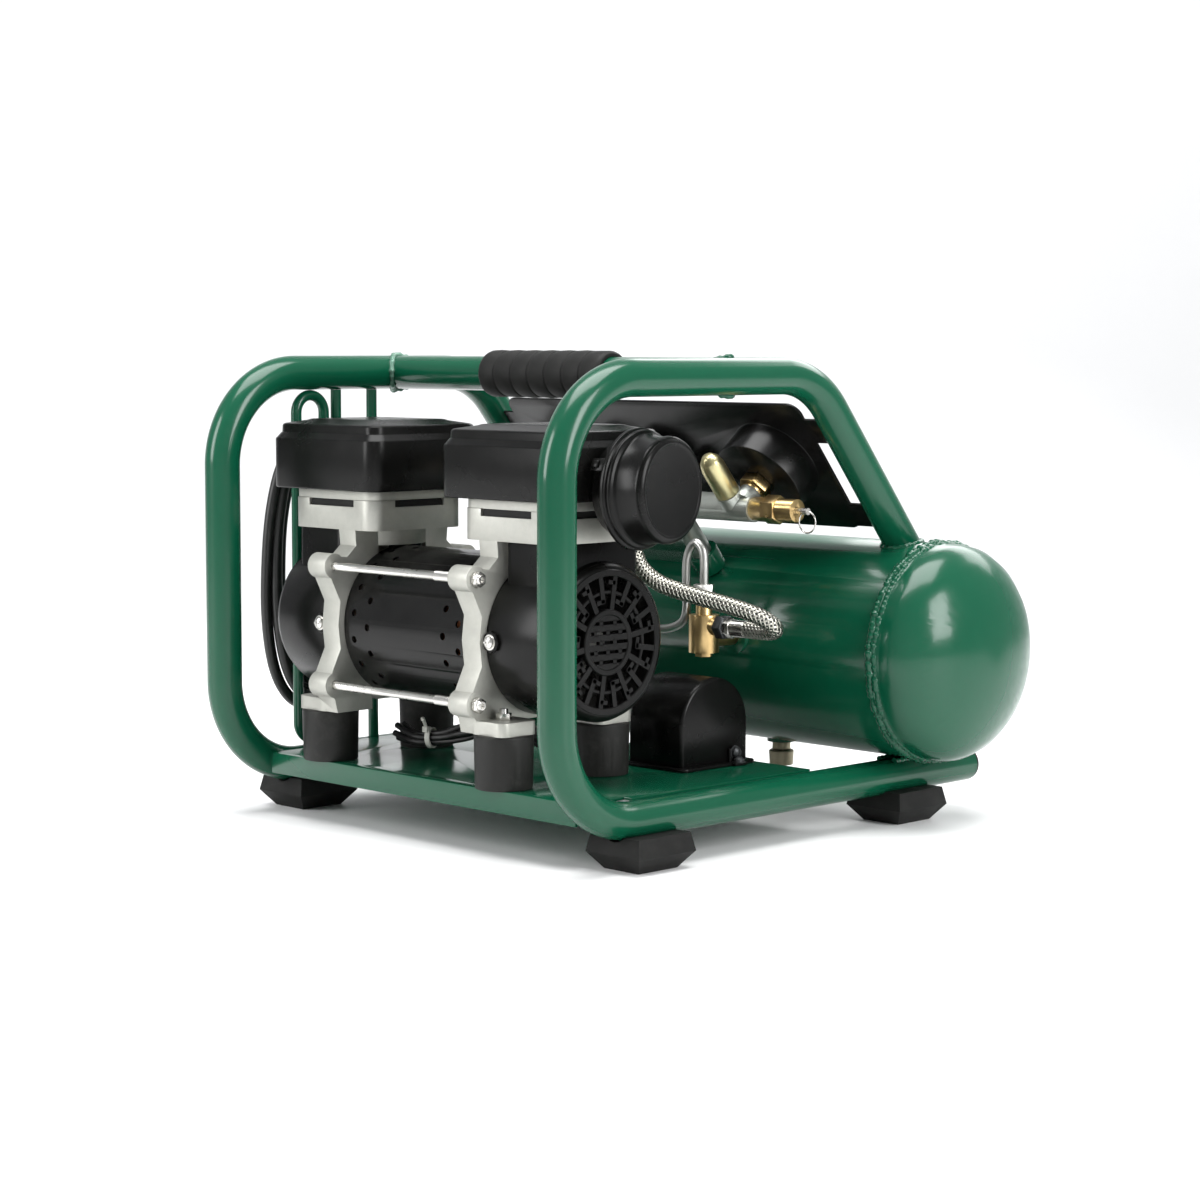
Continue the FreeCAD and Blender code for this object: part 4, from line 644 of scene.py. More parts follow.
# ---------------------------------------------------------------- repeated hardware, by geometry nodes
def scatter(name: str, pattern: bpy.types.Object, line: list[Vector], axes: list[Vector], body: Body,
            finish: Finish, scale: float = 1.0) -> bpy.types.Object:
    """Sets a copy of a pattern piece at each point, with its Z axis along that point's direction.

    Args:
        name: name of the piece.
        pattern: the piece to repeat, drawn at the origin with Z outwards. It is removed afterwards.
        line: points in metres.
        axes: one direction for each point.
        body: the body that carries the copies.
        finish: their surface finish.
        scale: size of the copies.

    Returns:
        One object with all the copies.
    """
    cloud = bpy.data.meshes.new(f"{name}_points")
    cloud.from_pydata([tuple(p) for p in line], [], [])
    direction = cloud.attributes.new("aim", "FLOAT_VECTOR", "POINT")
    for i, axis in enumerate(axes):
        direction.data[i].vector = tuple(axis)
    holder = linked(f"{name}_holder", cloud)
    tree = bpy.data.node_groups.new(f"{name}_layout", "GeometryNodeTree")
    tree.interface.new_socket("Geometry", in_out="INPUT", socket_type="NodeSocketGeometry")
    piece_in = tree.interface.new_socket("Piece", in_out="INPUT", socket_type="NodeSocketObject")
    scale_in = tree.interface.new_socket("Scale", in_out="INPUT", socket_type="NodeSocketFloat")
    finish_in = tree.interface.new_socket("Finish", in_out="INPUT", socket_type="NodeSocketMaterial")
    tree.interface.new_socket("Geometry", in_out="OUTPUT", socket_type="NodeSocketGeometry")
    make, links = tree.nodes.new, tree.links
    enter, leave = make("NodeGroupInput"), make("NodeGroupOutput")
    info, aim = make("GeometryNodeObjectInfo"), make("GeometryNodeInputNamedAttribute")
    turn, place = make("FunctionNodeAlignEulerToVector"), make("GeometryNodeInstanceOnPoints")
    real, paint = make("GeometryNodeRealizeInstances"), make("GeometryNodeSetMaterial")
    aim.data_type = "FLOAT_VECTOR"
    aim.inputs["Name"].default_value = "aim"
    turn.axis = "Z"
    links.new(enter.outputs["Piece"], info.inputs["Object"])
    links.new(aim.outputs["Attribute"], turn.inputs["Vector"])
    links.new(enter.outputs["Geometry"], place.inputs["Points"])
    links.new(info.outputs["Geometry"], place.inputs["Instance"])
    links.new(turn.outputs["Rotation"], place.inputs["Rotation"])
    links.new(enter.outputs["Scale"], place.inputs["Scale"])
    links.new(place.outputs["Instances"], real.inputs["Geometry"])
    links.new(real.outputs["Geometry"], paint.inputs["Geometry"])
    links.new(enter.outputs["Finish"], paint.inputs["Material"])
    links.new(paint.outputs["Geometry"], leave.inputs["Geometry"])
    modifier = holder.modifiers.new("layout", "NODES")
    modifier.node_group = tree
    modifier[piece_in.identifier] = pattern
    modifier[scale_in.identifier] = scale
    modifier[finish_in.identifier] = material(finish)
    graph = bpy.context.evaluated_depsgraph_get()
    data = bpy.data.meshes.new_from_object(holder.evaluated_get(graph))
    bpy.data.objects.remove(holder)
    bpy.data.objects.remove(pattern)
    return settle(name, data, body, finish)


def pattern_of(draft: Draft, name: str) -> bpy.types.Object:
    """Turns a draft into a loose pattern piece.

    Args:
        draft: the draft, drawn at the origin.
        name: name of the pattern.

    Returns:
        The pattern, for scatter or for a cut.
    """
    data = draft.loose(name)
    shade(data)
    return linked(name, data)


def socket_screw(width: float, height: float) -> Draft:
    """Draws a pan-head screw with a hexagon socket.

    Args:
        width: diameter of the head, in millimetres.
        height: height of the head, in millimetres.

    Returns:
        The draft, with Z outwards.
    """
    r = width / 2
    return Draft().lathe([(-0.4, r * 1.45), (0.0, r * 1.45), (0.35, r * 1.42), (0.4, r), (height * 0.7, r),
                          (height, r * 0.82), (height, r * 0.5), (height * 0.5, r * 0.46), (height * 0.5, 0.01)],
                         Matrix.Identity(4), 24)


def cross_screw(width: float, height: float = 2.4) -> Draft:
    """Draws a domed screw head with a cross recess, on a washer.

    Args:
        width: diameter of the head, in millimetres.
        height: height of the head, in millimetres.

    Returns:
        The draft, with Z outwards.
    """
    r = width / 2
    draft = Draft()
    draft.lathe([(-0.3, r * 1.25), (0.3, r * 1.25), (0.35, r), (height * 0.55, r * 0.96), (height * 0.9, r * 0.6),
                 (height, r * 0.2), (height, 0.01)], Matrix.Identity(4), 24)
    for turn in (0, 90):
        draft.box((r * 1.1, r * 0.22, 0.5), Matrix.Rotation(math.radians(turn), 4, "Z")
                  @ Matrix.Translation((0, 0, (height + 0.02) * MM)))
    return draft


# ---------------------------------------------------------------- camera, light and floor
@dataclass(frozen=True)
class SoftBox:
    """A rectangular lamp, in metres and watts."""

    name: str
    at: Point
    aim: Point
    size: tuple[float, float]
    power: float

    def build(self) -> None:
        """Makes the lamp and turns it to what it lights."""
        data = bpy.data.lights.new(self.name, "AREA")
        data.shape, data.energy = "RECTANGLE", self.power
        data.size, data.size_y = self.size
        look = (Vector(self.aim) - Vector(self.at)).to_track_quat("-Z", "Y")
        linked(self.name, data).matrix_world = Matrix.Translation(Vector(self.at)) @ look.to_matrix().to_4x4()


@dataclass(frozen=True)
class Studio:
    """The view of the machine, its light and its backdrop, in millimetres and degrees."""

    camera_at: Point = (1420.2, -1406.6, 344.7)
    azimuth: float = 45.27
    dip: float = 5.35
    roll: float = 0.11
    lens: float = 81.73
    sensor: float = 36.0
    exposure: float = 0.15
    floor_near: float = 3500.0
    floor_far: float = 2100.0
    floor_half: float = 6000.0
    backdrop_bend: float = 900.0
    backdrop_tall: float = 4200.0
    sky: tuple[float, float, float] = (0.95, 0.97, 1.0)
    sky_strength: float = 0.42
    lamps: tuple[SoftBox, ...] = (
        SoftBox("overhead", (0.1, -0.1, 2.1), (0, 0, 0), (1.9, 1.3), 62.0),
        SoftBox("left", (-0.9, -2.0, 1.0), (0, 0, 0.15), (0.7, 1.4), 30.0),
        SoftBox("right", (2.2, 0.1, 1.1), (0, 0, 0.15), (0.8, 1.4), 38.0),
        SoftBox("rear", (-0.3, 1.9, 1.5), (0, 0, 0.2), (2.0, 0.8), 22.0),
    )

    def build(self) -> None:
        """Makes the camera, the floor, the lamps and a pale sky."""
        scene = bpy.context.scene
        az, el = math.radians(self.azimuth), math.radians(self.dip)
        forward = Vector((-math.sin(az) * math.cos(el), math.cos(az) * math.cos(el), -math.sin(el)))
        data = bpy.data.cameras.new("camera")
        data.lens, data.sensor_width, data.clip_start, data.clip_end = self.lens, self.sensor, 0.05, 50.0
        turn = forward.to_track_quat("-Z", "Y") @ Quaternion((0, 0, 1), math.radians(self.roll))
        scene.camera = linked("camera", data)
        scene.camera.matrix_world = Matrix.Translation(vec(self.camera_at)) @ turn.to_matrix().to_4x4()
        scene.view_settings.view_transform = "Standard"
        scene.view_settings.exposure = self.exposure
        self.floor()
        for lamp in self.lamps:
            lamp.build()
        world = bpy.data.worlds.new("studio")
        scene.world = world
        world.use_nodes = True
        world.node_tree.nodes["Background"].inputs["Color"].default_value = (*self.sky, 1)
        world.node_tree.nodes["Background"].inputs["Strength"].default_value = self.sky_strength

    def floor(self) -> None:
        """Makes a pale floor that runs up into a backdrop behind the machine and another one in front."""
        bend, near, far = self.backdrop_bend, self.floor_near, self.floor_far
        rise = [(bend * math.sin(a), bend - bend * math.cos(a)) for a in [math.radians(d) for d in range(10, 91, 10)]]
        profile = [(-near - bend, self.backdrop_tall)] + [(-near - y, z) for y, z in reversed(rise)]
        profile += [(-near, 0), (0, 0), (far, 0)]
        profile += [(far + y, z) for y, z in rise] + [(far + bend, self.backdrop_tall)]
        spin = Matrix.Rotation(math.radians(self.azimuth), 4, "Z")
        half = self.floor_half
        rings = [[spin @ (Vector((x, y, z)) * MM) for y, z in profile] for x in (-half, half)]
        data = Draft().grid(rings, False).loose("floor")
        for face in data.polygons:
            face.use_smooth = True
        mat = bpy.data.materials.new("floor")
        mat.use_nodes = True
        shader = mat.node_tree.nodes["Principled BSDF"]
        shader.inputs["Base Color"].default_value = (0.86, 0.86, 0.86, 1)
        shader.inputs["Roughness"].default_value = 0.55
        data.materials.append(mat)
        linked("floor", data)


# ---------------------------------------------------------------- power cord
@dataclass(frozen=True)
class PowerCord:
    """The cord: out of its gland, through the side frame and wound up on the rack, with its plug."""

    diameter: float = 8.6
    gland: Point = (-146.2, 71.15, 248.5)
    lead: tuple[Point, ...] = (
        (-140.0, 71.15, 248.5), (-149.0, 71.15, 248.5), (-160.0, 66.0, 246.0), (-174.0, 53.0, 240.0),
        (-189.0, 34.0, 231.0), (-199.5, 10.0, 224.0), (-207.5, -16.0, 220.0), (-211.5, -38.0, 208.0))
    middle_y: float = -108.7
    low: float = 64.0
    high: float = 284.0
    width: float = 100.0
    layers_x: tuple[float, float] = (-209.4, -198.6)
    turns: float = 3.5
    points_per_turn: int = 16
    inset: float = 4.6
    inset_per_turn: float = 6.3
    squareness: float = 2.7
    plug_x: float = -204.0
    plug_low: float = 140.0
    slack: float = 0.985

    def loops(self) -> list[Point]:
        """Places the wound part: tall rings with long sides, each inside the last, on two layers.

        Returns:
            Points along the cord, in millimetres.
        """
        points: list[Point] = []
        for k in range(round(self.turns * self.points_per_turn) + 1):
            turn = k / self.points_per_turn
            angle = math.radians(20) - 2 * math.pi * turn
            inset = self.inset + self.inset_per_turn * turn
            layer = 0.5 - 0.5 * math.cos(math.pi * min(1.0, turn % 2.0))
            x = self.layers_x[0] + (self.layers_x[1] - self.layers_x[0]) * layer
            half, tall = self.width / 2 - inset, (self.high - self.low) / 2 - inset
            c, s = math.cos(angle), math.sin(angle)
            stretch = (abs(c) ** self.squareness + abs(s) ** self.squareness) ** (-1 / self.squareness)
            points.append((x + 1.1 * math.sin(3 * angle + turn), self.middle_y + half * c * stretch,
                           (self.low + self.high) / 2 + tall * s * stretch))
        return points

    def build(self, nodes: dict[str, bpy.types.Object]) -> None:
        """Makes the cord as one curve, its gland and its plug.

        Args:
            nodes: the engineering parts, by name.
        """
        wound = self.loops()
        tail = [(wound[-1][0] + 2.0, -58.0, 186.0), (-203.6, -50.5, 170.0), (self.plug_x, -46.6, 152.0),
                (self.plug_x, -45.6, self.plug_low)]
        points = [*self.lead, *wound, *tail]
        data = bpy.data.curves.new("power_cord_line", "CURVE")
        data.dimensions = "3D"
        data.bevel_depth = self.diameter / 2 * MM
        data.bevel_resolution = 5
        data.resolution_u = 6
        data.use_fill_caps = True
        spline = data.splines.new("NURBS")
        spline.points.add(len(points) - 1)
        for place, point in zip(spline.points, points):
            place.co = (*vec(point), 1.0)
        spline.order_u = 3
        spline.use_endpoint_u = True
        data.materials.append(material(CORD_SKIN))
        cord = linked("power_cord_line", data)
        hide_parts("power_cord", "cord_hank")
        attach(cord, Body.CAGE.value)
        plug = self.plug()
        gland = refined("strain_relief", nodes, Body.CAGE, CORD_SKIN, 0.3)

    def plug(self) -> bpy.types.Object:
        """Makes the moulded plug, hanging behind the wound cord with its blades down.

        Returns:
            The plug's body, with its blades as a child.
        """
        x, y = self.plug_x, self.middle_y + self.width / 2 + 13.1
        draft = Draft()
        draft.lathe([(-1, 5.2), (0, 6.0), (4, 6.6), (8, 6.6), (10, 7.6), (14, 10.5), (22, 12.6), (34, 13.0), (42, 13.0),
                     (44, 12.2)], placed((x, y, self.plug_low), -AXIS_Z), 32)
        body = draft.finish("plug_body", Body.CAGE, CORD_SKIN, ("power_plug",), bevel=0.5)
        blades = Draft()
        for dx in (-6.4, 6.4):
            blades.box((1.5, 6.3, 17), placed((x + dx, y, 88)))
        blades.lathe([(0, 2.4), (17, 2.4), (20, 1.2)], placed((x, y + 7.5, 96.4), -AXIS_Z), 16)
        metal = blades.finish("plug_blades", Body.CAGE, BRASS, bevel=0.3)
        metal.parent = body
        return body


# ---------------------------------------------------------------- roll cage
def saddle_line(origin: Vector, direction: Vector, radius: float, axis_at: Vector, axis: Vector,
                other: float, count: int = 60) -> list[Vector]:
    """Where a round tube first meets a round body.

    Args:
        origin: a point on the tube's centreline, in millimetres.
        direction: unit direction in which the tube runs.
        radius: the tube's radius.
        axis_at: a point on the other body's axis.
        axis: unit direction of that axis.
        other: the other body's radius.
        count: points round the joint.

    Returns:
        Points round the joint, in metres.
    """
    across = direction.orthogonal().normalized()
    side = direction.cross(across)
    line = []
    for k in range(count):
        angle = 2 * math.pi * k / count
        start = origin + (across * math.cos(angle) + side * math.sin(angle)) * radius
        rel = start - axis_at
        rel -= axis * rel.dot(axis)
        run = direction - axis * direction.dot(axis)
        a, b, c = run.dot(run), 2 * rel.dot(run), rel.dot(rel) - other * other
        root = max(b * b - 4 * a * c, 0.0)
        line.append((start + direction * (-b - math.sqrt(root)) / (2 * a)) * MM)
    return line


@dataclass(frozen=True)
class RollCage:
    """The two bent side frames, the handle with its grip, the base plate, the feet and the cord rack."""

    side_x: float = 175.0
    tube: float = 12.7
    rail_z: float = 33.0
    top_z: float = 323.7
    front_y: float = -211.7
    rail_end: float = 211.3
    corner_y: float = 33.5
    slope: float = 50.2
    slope_long: float = 171.0
    bend: float = 67.0
    handle_y: float = -48.7
    tank_axis: Point = (0, 144.3, 124.4)
    tank_radius: float = 78.6
    slope_weld: float = 2.3
    handle_weld: float = 2.5
    rail_weld: float = 2.4
    grip_half: float = 62.0
    grip_radius: float = 17.0
    groove_first: float = -44.3
    groove_step: float = 17.7

    def build(self, nodes: dict[str, bpy.types.Object]) -> None:
        """Makes the cage.

        Args:
            nodes: the engineering parts, by name.
        """
        self.side("left", -self.side_x, WELD)
        self.side("right", self.side_x, GREEN)
        ends = [vec((x, self.handle_y, self.top_z)) for x in (-self.side_x + 4, self.side_x - 4)]
        Draft().sweep(ends, self.tube - 0.1, 48).finish("handle_bar", Body.CAGE, GREEN, ("handle_tube",))
        self.grip()
        refined("base_plate", nodes, Body.CAGE, GREEN, 0.6)
        refined("cord_rack", nodes, Body.CAGE, GREEN, 0.0)
        refined("rubber_feet", nodes, Body.CAGE, RUBBER, 1.3, segments=3)
        refined("rail_end_plugs", nodes, Body.CAGE, BLACK_MATT, 0.5)
        refined("frame_fasteners", nodes, Body.CAGE, STEEL, 0.3)

    def side(self, label: str, x: float, handle_weld: Finish) -> None:
        """Makes one bent side frame, with its welds to the tank, the handle and the rail.

        Args:
            label: left or right.
            x: where its middle plane lies.
            handle_weld: finish of the weld to the handle, bare or painted over.
        """
        down = Vector((0, math.cos(math.radians(self.slope)), -math.sin(math.radians(self.slope))))
        top, tank = Vector((x, self.corner_y, self.top_z)), Vector(self.tank_axis)
        path = bent_path([(x, self.rail_end, self.rail_z), (x, self.front_y, self.rail_z),
                          (x, self.front_y, self.top_z), tuple(top), tuple(top + down * self.slope_long)],
                         self.bend, 2.5)
        Draft().sweep(path, self.tube, 48).finish(f"{label}_side_tube", Body.CAGE, GREEN, (f"{label}_side_frame",))
        line = saddle_line(top, down, self.tube + 0.4, tank, AXIS_X, self.tank_radius)
        bead(f"{label}_slope_weld", line, self.slope_weld, True, seed=5)
        outward = -AXIS_X if x < 0 else AXIS_X
        line = saddle_line(Vector((0, self.handle_y, self.top_z)), outward, self.tube + 0.3,
                           Vector((x, 0, self.top_z)), AXIS_Y, self.tube + 0.4)
        bead(f"{label}_handle_weld", line, self.handle_weld, True, handle_weld, seed=9, rough=0.5)
        for dx in (-7.0, 7.0):
            line = [vec((x + dx, tank.y - 24 + 4 * k, 45.4 - abs(k - 6) * 0.1)) for k in range(13)]
            bead(f"{label}_rail_weld_{'inner' if dx * x < 0 else 'outer'}", line, self.rail_weld, False)

    def grip(self) -> None:
        """Makes the moulded grip, ringed by shallow grooves."""
        half, radius = self.grip_half, self.grip_radius
        outline: list[Pair] = [(-half, 12.8), (-half, 15.2), (-half + 1.2, 16.4), (-half + 3, radius)]
        for at in [self.groove_first + self.groove_step * k for k in range(6)]:
            outline += [(at - 8.0, radius + 0.25), (at - 1.1, radius - 0.1), (at - 0.7, radius - 0.75),
                        (at + 0.7, radius - 0.75), (at + 1.1, radius - 0.1)]
        outline += [(half - 3, radius), (half - 1.2, 16.4), (half, 15.2), (half, 12.8)]
        grip = Draft().lathe(outline, placed((0, self.handle_y, self.top_z), AXIS_X), 64, closed=True)
        grip.finish("grip_sleeve", Body.CAGE, RUBBER, ("handle_grip",), 0.25, 30)


# ---------------------------------------------------------------- tank
@dataclass(frozen=True)
class Tank:
    """The receiver: a rolled shell with two domed heads, welded round, and its drain."""

    axis_y: float = 144.3
    axis_z: float = 124.4
    radius: float = 78.6
    seam_x: float = 202.0
    passes: tuple[tuple[float, float, float], ...] = ((0.4, -0.1, 3.2), (4.2, -1.2, 3.0))

    def build(self, nodes: dict[str, bpy.types.Object]) -> None:
        """Makes the tank.

        Args:
            nodes: the engineering parts, by name.
        """
        refined("tank_shell", nodes, Body.CAGE, GREEN, 0.3, 30)
        for label, sign in (("left", -1), ("right", 1)):
            refined(f"tank_head_{label}", nodes, Body.CAGE, GREEN, 0.0, 30)
            self.seam(label, sign)
        refined("drain_valve_body", nodes, Body.CAGE, AGED_BRASS, 0.3)
        refined("drain_knob", nodes, Body.DRAIN, AGED_BRASS, 0.4)

    def seam(self, label: str, sign: int) -> None:
        """Makes the weld round a head, as passes that wander a little.

        Args:
            label: left or right.
            sign: -1 for the left head, 1 for the right one.
        """
        for k, (along, out, size) in enumerate(self.passes):
            ring = []
            for a in [2 * math.pi * i / 220 for i in range(220)]:
                wander = noise.noise(Vector((math.cos(a) * 5, math.sin(a) * 5, 7.0 * sign + 3.0 * k)))
                reach = self.radius + out + 0.5 * wander
                ring.append(vec((sign * (self.seam_x + along + 1.9 * wander), self.axis_y + reach * math.cos(a),
                                 self.axis_z + reach * math.sin(a))))
            bead(f"{label}_seam_weld_{k}", ring, size, True, seed=2 + sign + k, rough=0.45)


# ---------------------------------------------------------------- motor and pump
def rounded_rect(width: float, depth: float, radius: float, steps: int = 8) -> Outline:
    """A rectangle with rounded corners, counter-clockwise.

    Args:
        width: size along X, in millimetres.
        depth: size along Y, in millimetres.
        radius: radius of the corners, in millimetres.
        steps: steps round a corner.

    Returns:
        The outline.
    """
    out: list[Pair] = []
    for cx, cy, start in ((1, 1, 0), (-1, 1, 90), (-1, -1, 180), (1, -1, 270)):
        for k in range(steps + 1):
            a = math.radians(start + 90 * k / steps)
            out.append((cx * (width / 2 - radius) + radius * math.cos(a),
                        cy * (depth / 2 - radius) + radius * math.sin(a)))
    return out


@dataclass(frozen=True)
class MotorPump:
    """The motor with a cylinder at each end: crankcases, cowls, covers, rods and rubber mounts."""

    x: float = -15.0
    y: float = -121.7
    z: float = 145.5
    cylinder: float = 92.4
    rod_y: float = 63.5
    rod_z: float = 42.5
    cover_x: float = 118.0
    cover_y: float = 108.0
    cover_low: float = 241.0
    cover_round: float = 12.0
    cover_steps: Outline = (
        (0.0, 0.9), (0.5, 0.3), (1.2, 0.0), (35.2, 0.0), (35.9, 0.25), (36.5, 0.9), (39.6, 3.2), (40.2, 3.9),
        (40.5, 4.1), (44.9, 4.3), (45.7, 4.6), (46.4, 5.4), (46.8, 6.6), (49.0, 19.0), (49.7, 20.6), (50.0, 22.5))
    gap_z: float = 231.5
    gap_tall: float = 4.8
    cowl_face: float = 146.0
    grille_open: float = 48.5
    bars: int = 20

    def build(self, nodes: dict[str, bpy.types.Object]) -> None:
        """Makes the motor and the pump.

        Args:
            nodes: the engineering parts, by name.
        """
        for label in ("left", "right"):
            refined(f"crankcase_{label}", nodes, Body.CAGE, CAST, 0.9, segments=3)
        refined("motor_shell", nodes, Body.CAGE, BLACK_PAINT, 0.0, 30)
        refined("valve_plates", nodes, Body.CAGE, CAST, 0.5)
        refined("vibration_mounts", nodes, Body.CAGE, MOUNT_RUBBER, 1.6, segments=3)
        refined("pump_fasteners", nodes, Body.CAGE, STEEL, 0.35)
        refined("end_cowl_left", nodes, Body.CAGE, BLACK_GLOSS, 0.7, segments=3)
        self.cowl_right(nodes)
        for label, sign in (("left", -1), ("right", 1)):
            self.cover(label, sign)
            self.painted_slot_shade(label, sign)
        self.threads()
        self.screw_washers()

    def cover(self, label: str, sign: int) -> None:
        """Makes a moulded cover: straight sides, a sloped shoulder, and a low hipped lid.

        Args:
            label: left or right.
            sign: -1 for the left cylinder, 1 for the right one.
        """
        at = Matrix.Translation(vec((self.x + sign * self.cylinder, self.y, self.cover_low)))
        rings = []
        for z, inset in self.cover_steps:
            outline = rounded_rect(self.cover_x - 2 * inset, self.cover_y - 2 * inset,
                                   max(4.0, self.cover_round - inset * 0.55))
            rings.append([at @ (Vector((px, py, z)) * MM) for px, py in outline])
        Draft().grid(rings, True, caps=True).finish(f"{label}_head_cover", Body.CAGE, BLACK_GLOSS,
                                                    (f"head_cover_{label}",), angle=50)

    def painted_slot_shade(self, label: str, sign: int) -> None:
        """Makes thin dark boxes in the cooling gaps between a cylinder and its valve plate: painted shade in the gaps.

        Args:
            label: left or right.
            sign: -1 for the left cylinder, 1 for the right one.
        """
        draft = Draft()
        cx = self.x + sign * self.cylinder
        # dark boxes that stand in for the shade inside the gaps: painted shade
        for side in (-1, 1):
            draft.box((47.0, 1.0, self.gap_tall), placed((cx, self.y + side * 42.2, self.gap_z)))
            draft.box((1.0, 44.0, self.gap_tall), placed((cx + side * 44.2, self.y, self.gap_z)))
        draft.finish(f"{label}_gap_lining", Body.CAGE, RUBBER)

    def cowl_right(self, nodes: dict[str, bpy.types.Object]) -> None:
        """Makes the fan cowl, opened in its end face for the grille.

        Args:
            nodes: the engineering parts, by name.
        """
        barrel = refined("fan_cowl_right", nodes, Body.CAGE, BLACK_GLOSS, 0.0)
        cut = Draft().lathe([(138, self.grille_open), (160, self.grille_open)],
                            placed((self.x, self.y, self.z), AXIS_X), 96)
        cutter = pattern_of(cut, "grille_opening")
        opening = barrel.modifiers.new("opening", "BOOLEAN")
        opening.object, opening.operation, opening.solver = cutter, "DIFFERENCE", "EXACT"
        round_edges(barrel, 0.6, 3)
        bake(barrel)
        bpy.data.objects.remove(cutter)
        shade(barrel.data)
        self.grille()

    def grille(self) -> None:
        """Makes the open grille: rings, spokes with hooks between them, and a slotted middle."""
        face = placed((self.x + self.cowl_face - 3.0, self.y, self.z), AXIS_X)
        upright = Matrix.Translation(vec((self.x + self.cowl_face - 1.5, self.y, self.z)))
        grille = Draft()
        for outer, inner, high in ((49.6, 44.6, 3.4), (35.4, 32.6, 2.4), (22.6, 18.4, 3.8)):
            grille.lathe([(0, inner), (high - 0.6, inner), (high, inner + 0.6), (high, outer - 0.6),
                          (high - 0.6, outer), (0, outer)], face, 96, closed=True)
        for k in range(self.bars):
            turned = upright @ Matrix.Rotation(2 * math.pi * (k + 0.5) / self.bars, 4, "X")
            # alternate bars are long and short, with a small hook that closes every other window
            start, hook = (27.0, ((3.0, 3.0, 7.6), 28.0, 2.4)) if k % 2 else (20.5, ((3.0, 2.8, 6.6), 40.5, 2.6))
            grille.box((3.0, self.grille_open - start, 3.9), turned @ shifted(0, (start + self.grille_open) / 2, 0))
            grille.box(hook[0], turned @ shifted(0, hook[1], hook[2]))
        for k, half in enumerate((12.5, 17.2, 19.0, 19.0, 17.2, 12.5)):
            height = -16.5 + 6.6 * k
            grille.box((3.0, 2 * half, 4.2), upright @ shifted(0, 0, height))
            if k < 5:
                for offset in ((-6.5, 6.5), (-11.5, 0.0, 11.5))[k % 2]:
                    grille.box((3.0, 3.2, 3.4), upright @ shifted(0, offset, height + 3.3))
        grille.finish("fan_grille", Body.CAGE, BLACK_GLOSS)

    def threads(self) -> None:
        """Makes the rolled threads on the right end of each tie rod."""
        outline: list[Pair] = [(0, 2.9)]
        for k in range(22):
            outline += [(k * 0.95 + 0.2, 3.0), (k * 0.95 + 0.55, 3.55)]
        outline += [(21.3, 2.9)]
        draft = Draft()
        for sy in (-1, 1):
            for sz in (-1, 1):
                at = (self.x + 43.5, self.y + sy * self.rod_y, self.z + sz * self.rod_z)
                draft.lathe(outline, placed(at, AXIS_X), 20)
        draft.finish("tie_rod_threads", Body.CAGE, STEEL, angle=80)

    def screw_washers(self) -> None:
        """Makes the socket heads on the crankcase bosses, and the screws of the cowls on their pads."""
        boss = [vec((self.x + sx * 85.4, self.y + sy * self.rod_y, self.z + sz * self.rod_z))
                for sx in (-1, 1) for sy in (-1, 1) for sz in (-1, 1)]
        outwards = [Vector((1 if p.x > self.x * MM else -1, 0, 0)) for p in boss]
        scatter("rod_end_screws", pattern_of(socket_screw(7.2, 5.0), "socket_head"), boss, outwards, Body.CAGE, STEEL)
        pad = Draft().lathe([(-2.6, 7.6), (0.6, 7.6), (1.2, 7.0), (1.2, 4.0)], Matrix.Identity(4), 8)
        spots = [vec((self.x + sx * 90.3, self.y + sy * 55.6, self.z)) for sx in (-1, 1) for sy in (-1, 1)]
        sides = [Vector((0, sy, 0)) for sx in (-1, 1) for sy in (-1, 1)]
        scatter("cowl_screw_pads", pattern_of(pad, "cowl_pad"), spots, sides, Body.CAGE, BLACK_GLOSS)
        scatter("cowl_screw_heads", pattern_of(cross_screw(8.6, 3.4), "cowl_head"),
                [p + d * 1.3 * MM for p, d in zip(spots, sides)], sides, Body.CAGE, STEEL)


# ---------------------------------------------------------------- intake filter
@dataclass(frozen=True)
class IntakeFilter:
    """The intake filter: a black pressed canister on the right head cover."""

    x: float = 136.5
    y: float = -112.7
    z: float = 249.0
    turn: float = 8.0
    latches: int = 3
    outline: Outline = (
        (-3.0, 31.6), (5.6, 32.2), (6.4, 33.0), (6.8, 36.6), (7.6, 37.8), (9.2, 38.4), (9.8, 40.2), (10.8, 41.0),
        (13.0, 41.1), (13.8, 40.1), (14.2, 39.0), (14.8, 39.0), (15.4, 39.8), (17.0, 40.0), (18.2, 39.2),
        (19.0, 37.4), (20.4, 36.4), (33.6, 35.4), (35.4, 35.9), (37.4, 35.8), (39.4, 34.9), (40.6, 33.2),
        (41.0, 31.9), (40.8, 30.8), (40.3, 30.0), (40.2, 0.5))

    def build(self) -> None:
        """Makes the canister and its latches."""
        along = Vector((math.cos(math.radians(self.turn)), math.sin(math.radians(self.turn)), 0))
        place = placed((self.x, self.y, self.z), along)
        can = Draft().lathe(self.outline, place, 96)
        can.finish("filter_can", Body.CAGE, BLACK_GLOSS, ("filter_canister",), 0.3, 24)
        latches = Draft()
        for k in range(self.latches):
            turned = place @ Matrix.Rotation(2 * math.pi * (k + 0.28) / self.latches, 4, "Z")
            latches.box((2.4, 9.0, 11.0), turned @ shifted(38.2, 0, 5.0))
            latches.box((2.0, 5.0, 5.0), turned @ shifted(40.0, 0, 3.6))
        latches.finish("filter_latches", Body.CAGE, BLACK_GLOSS, bevel=0.6)


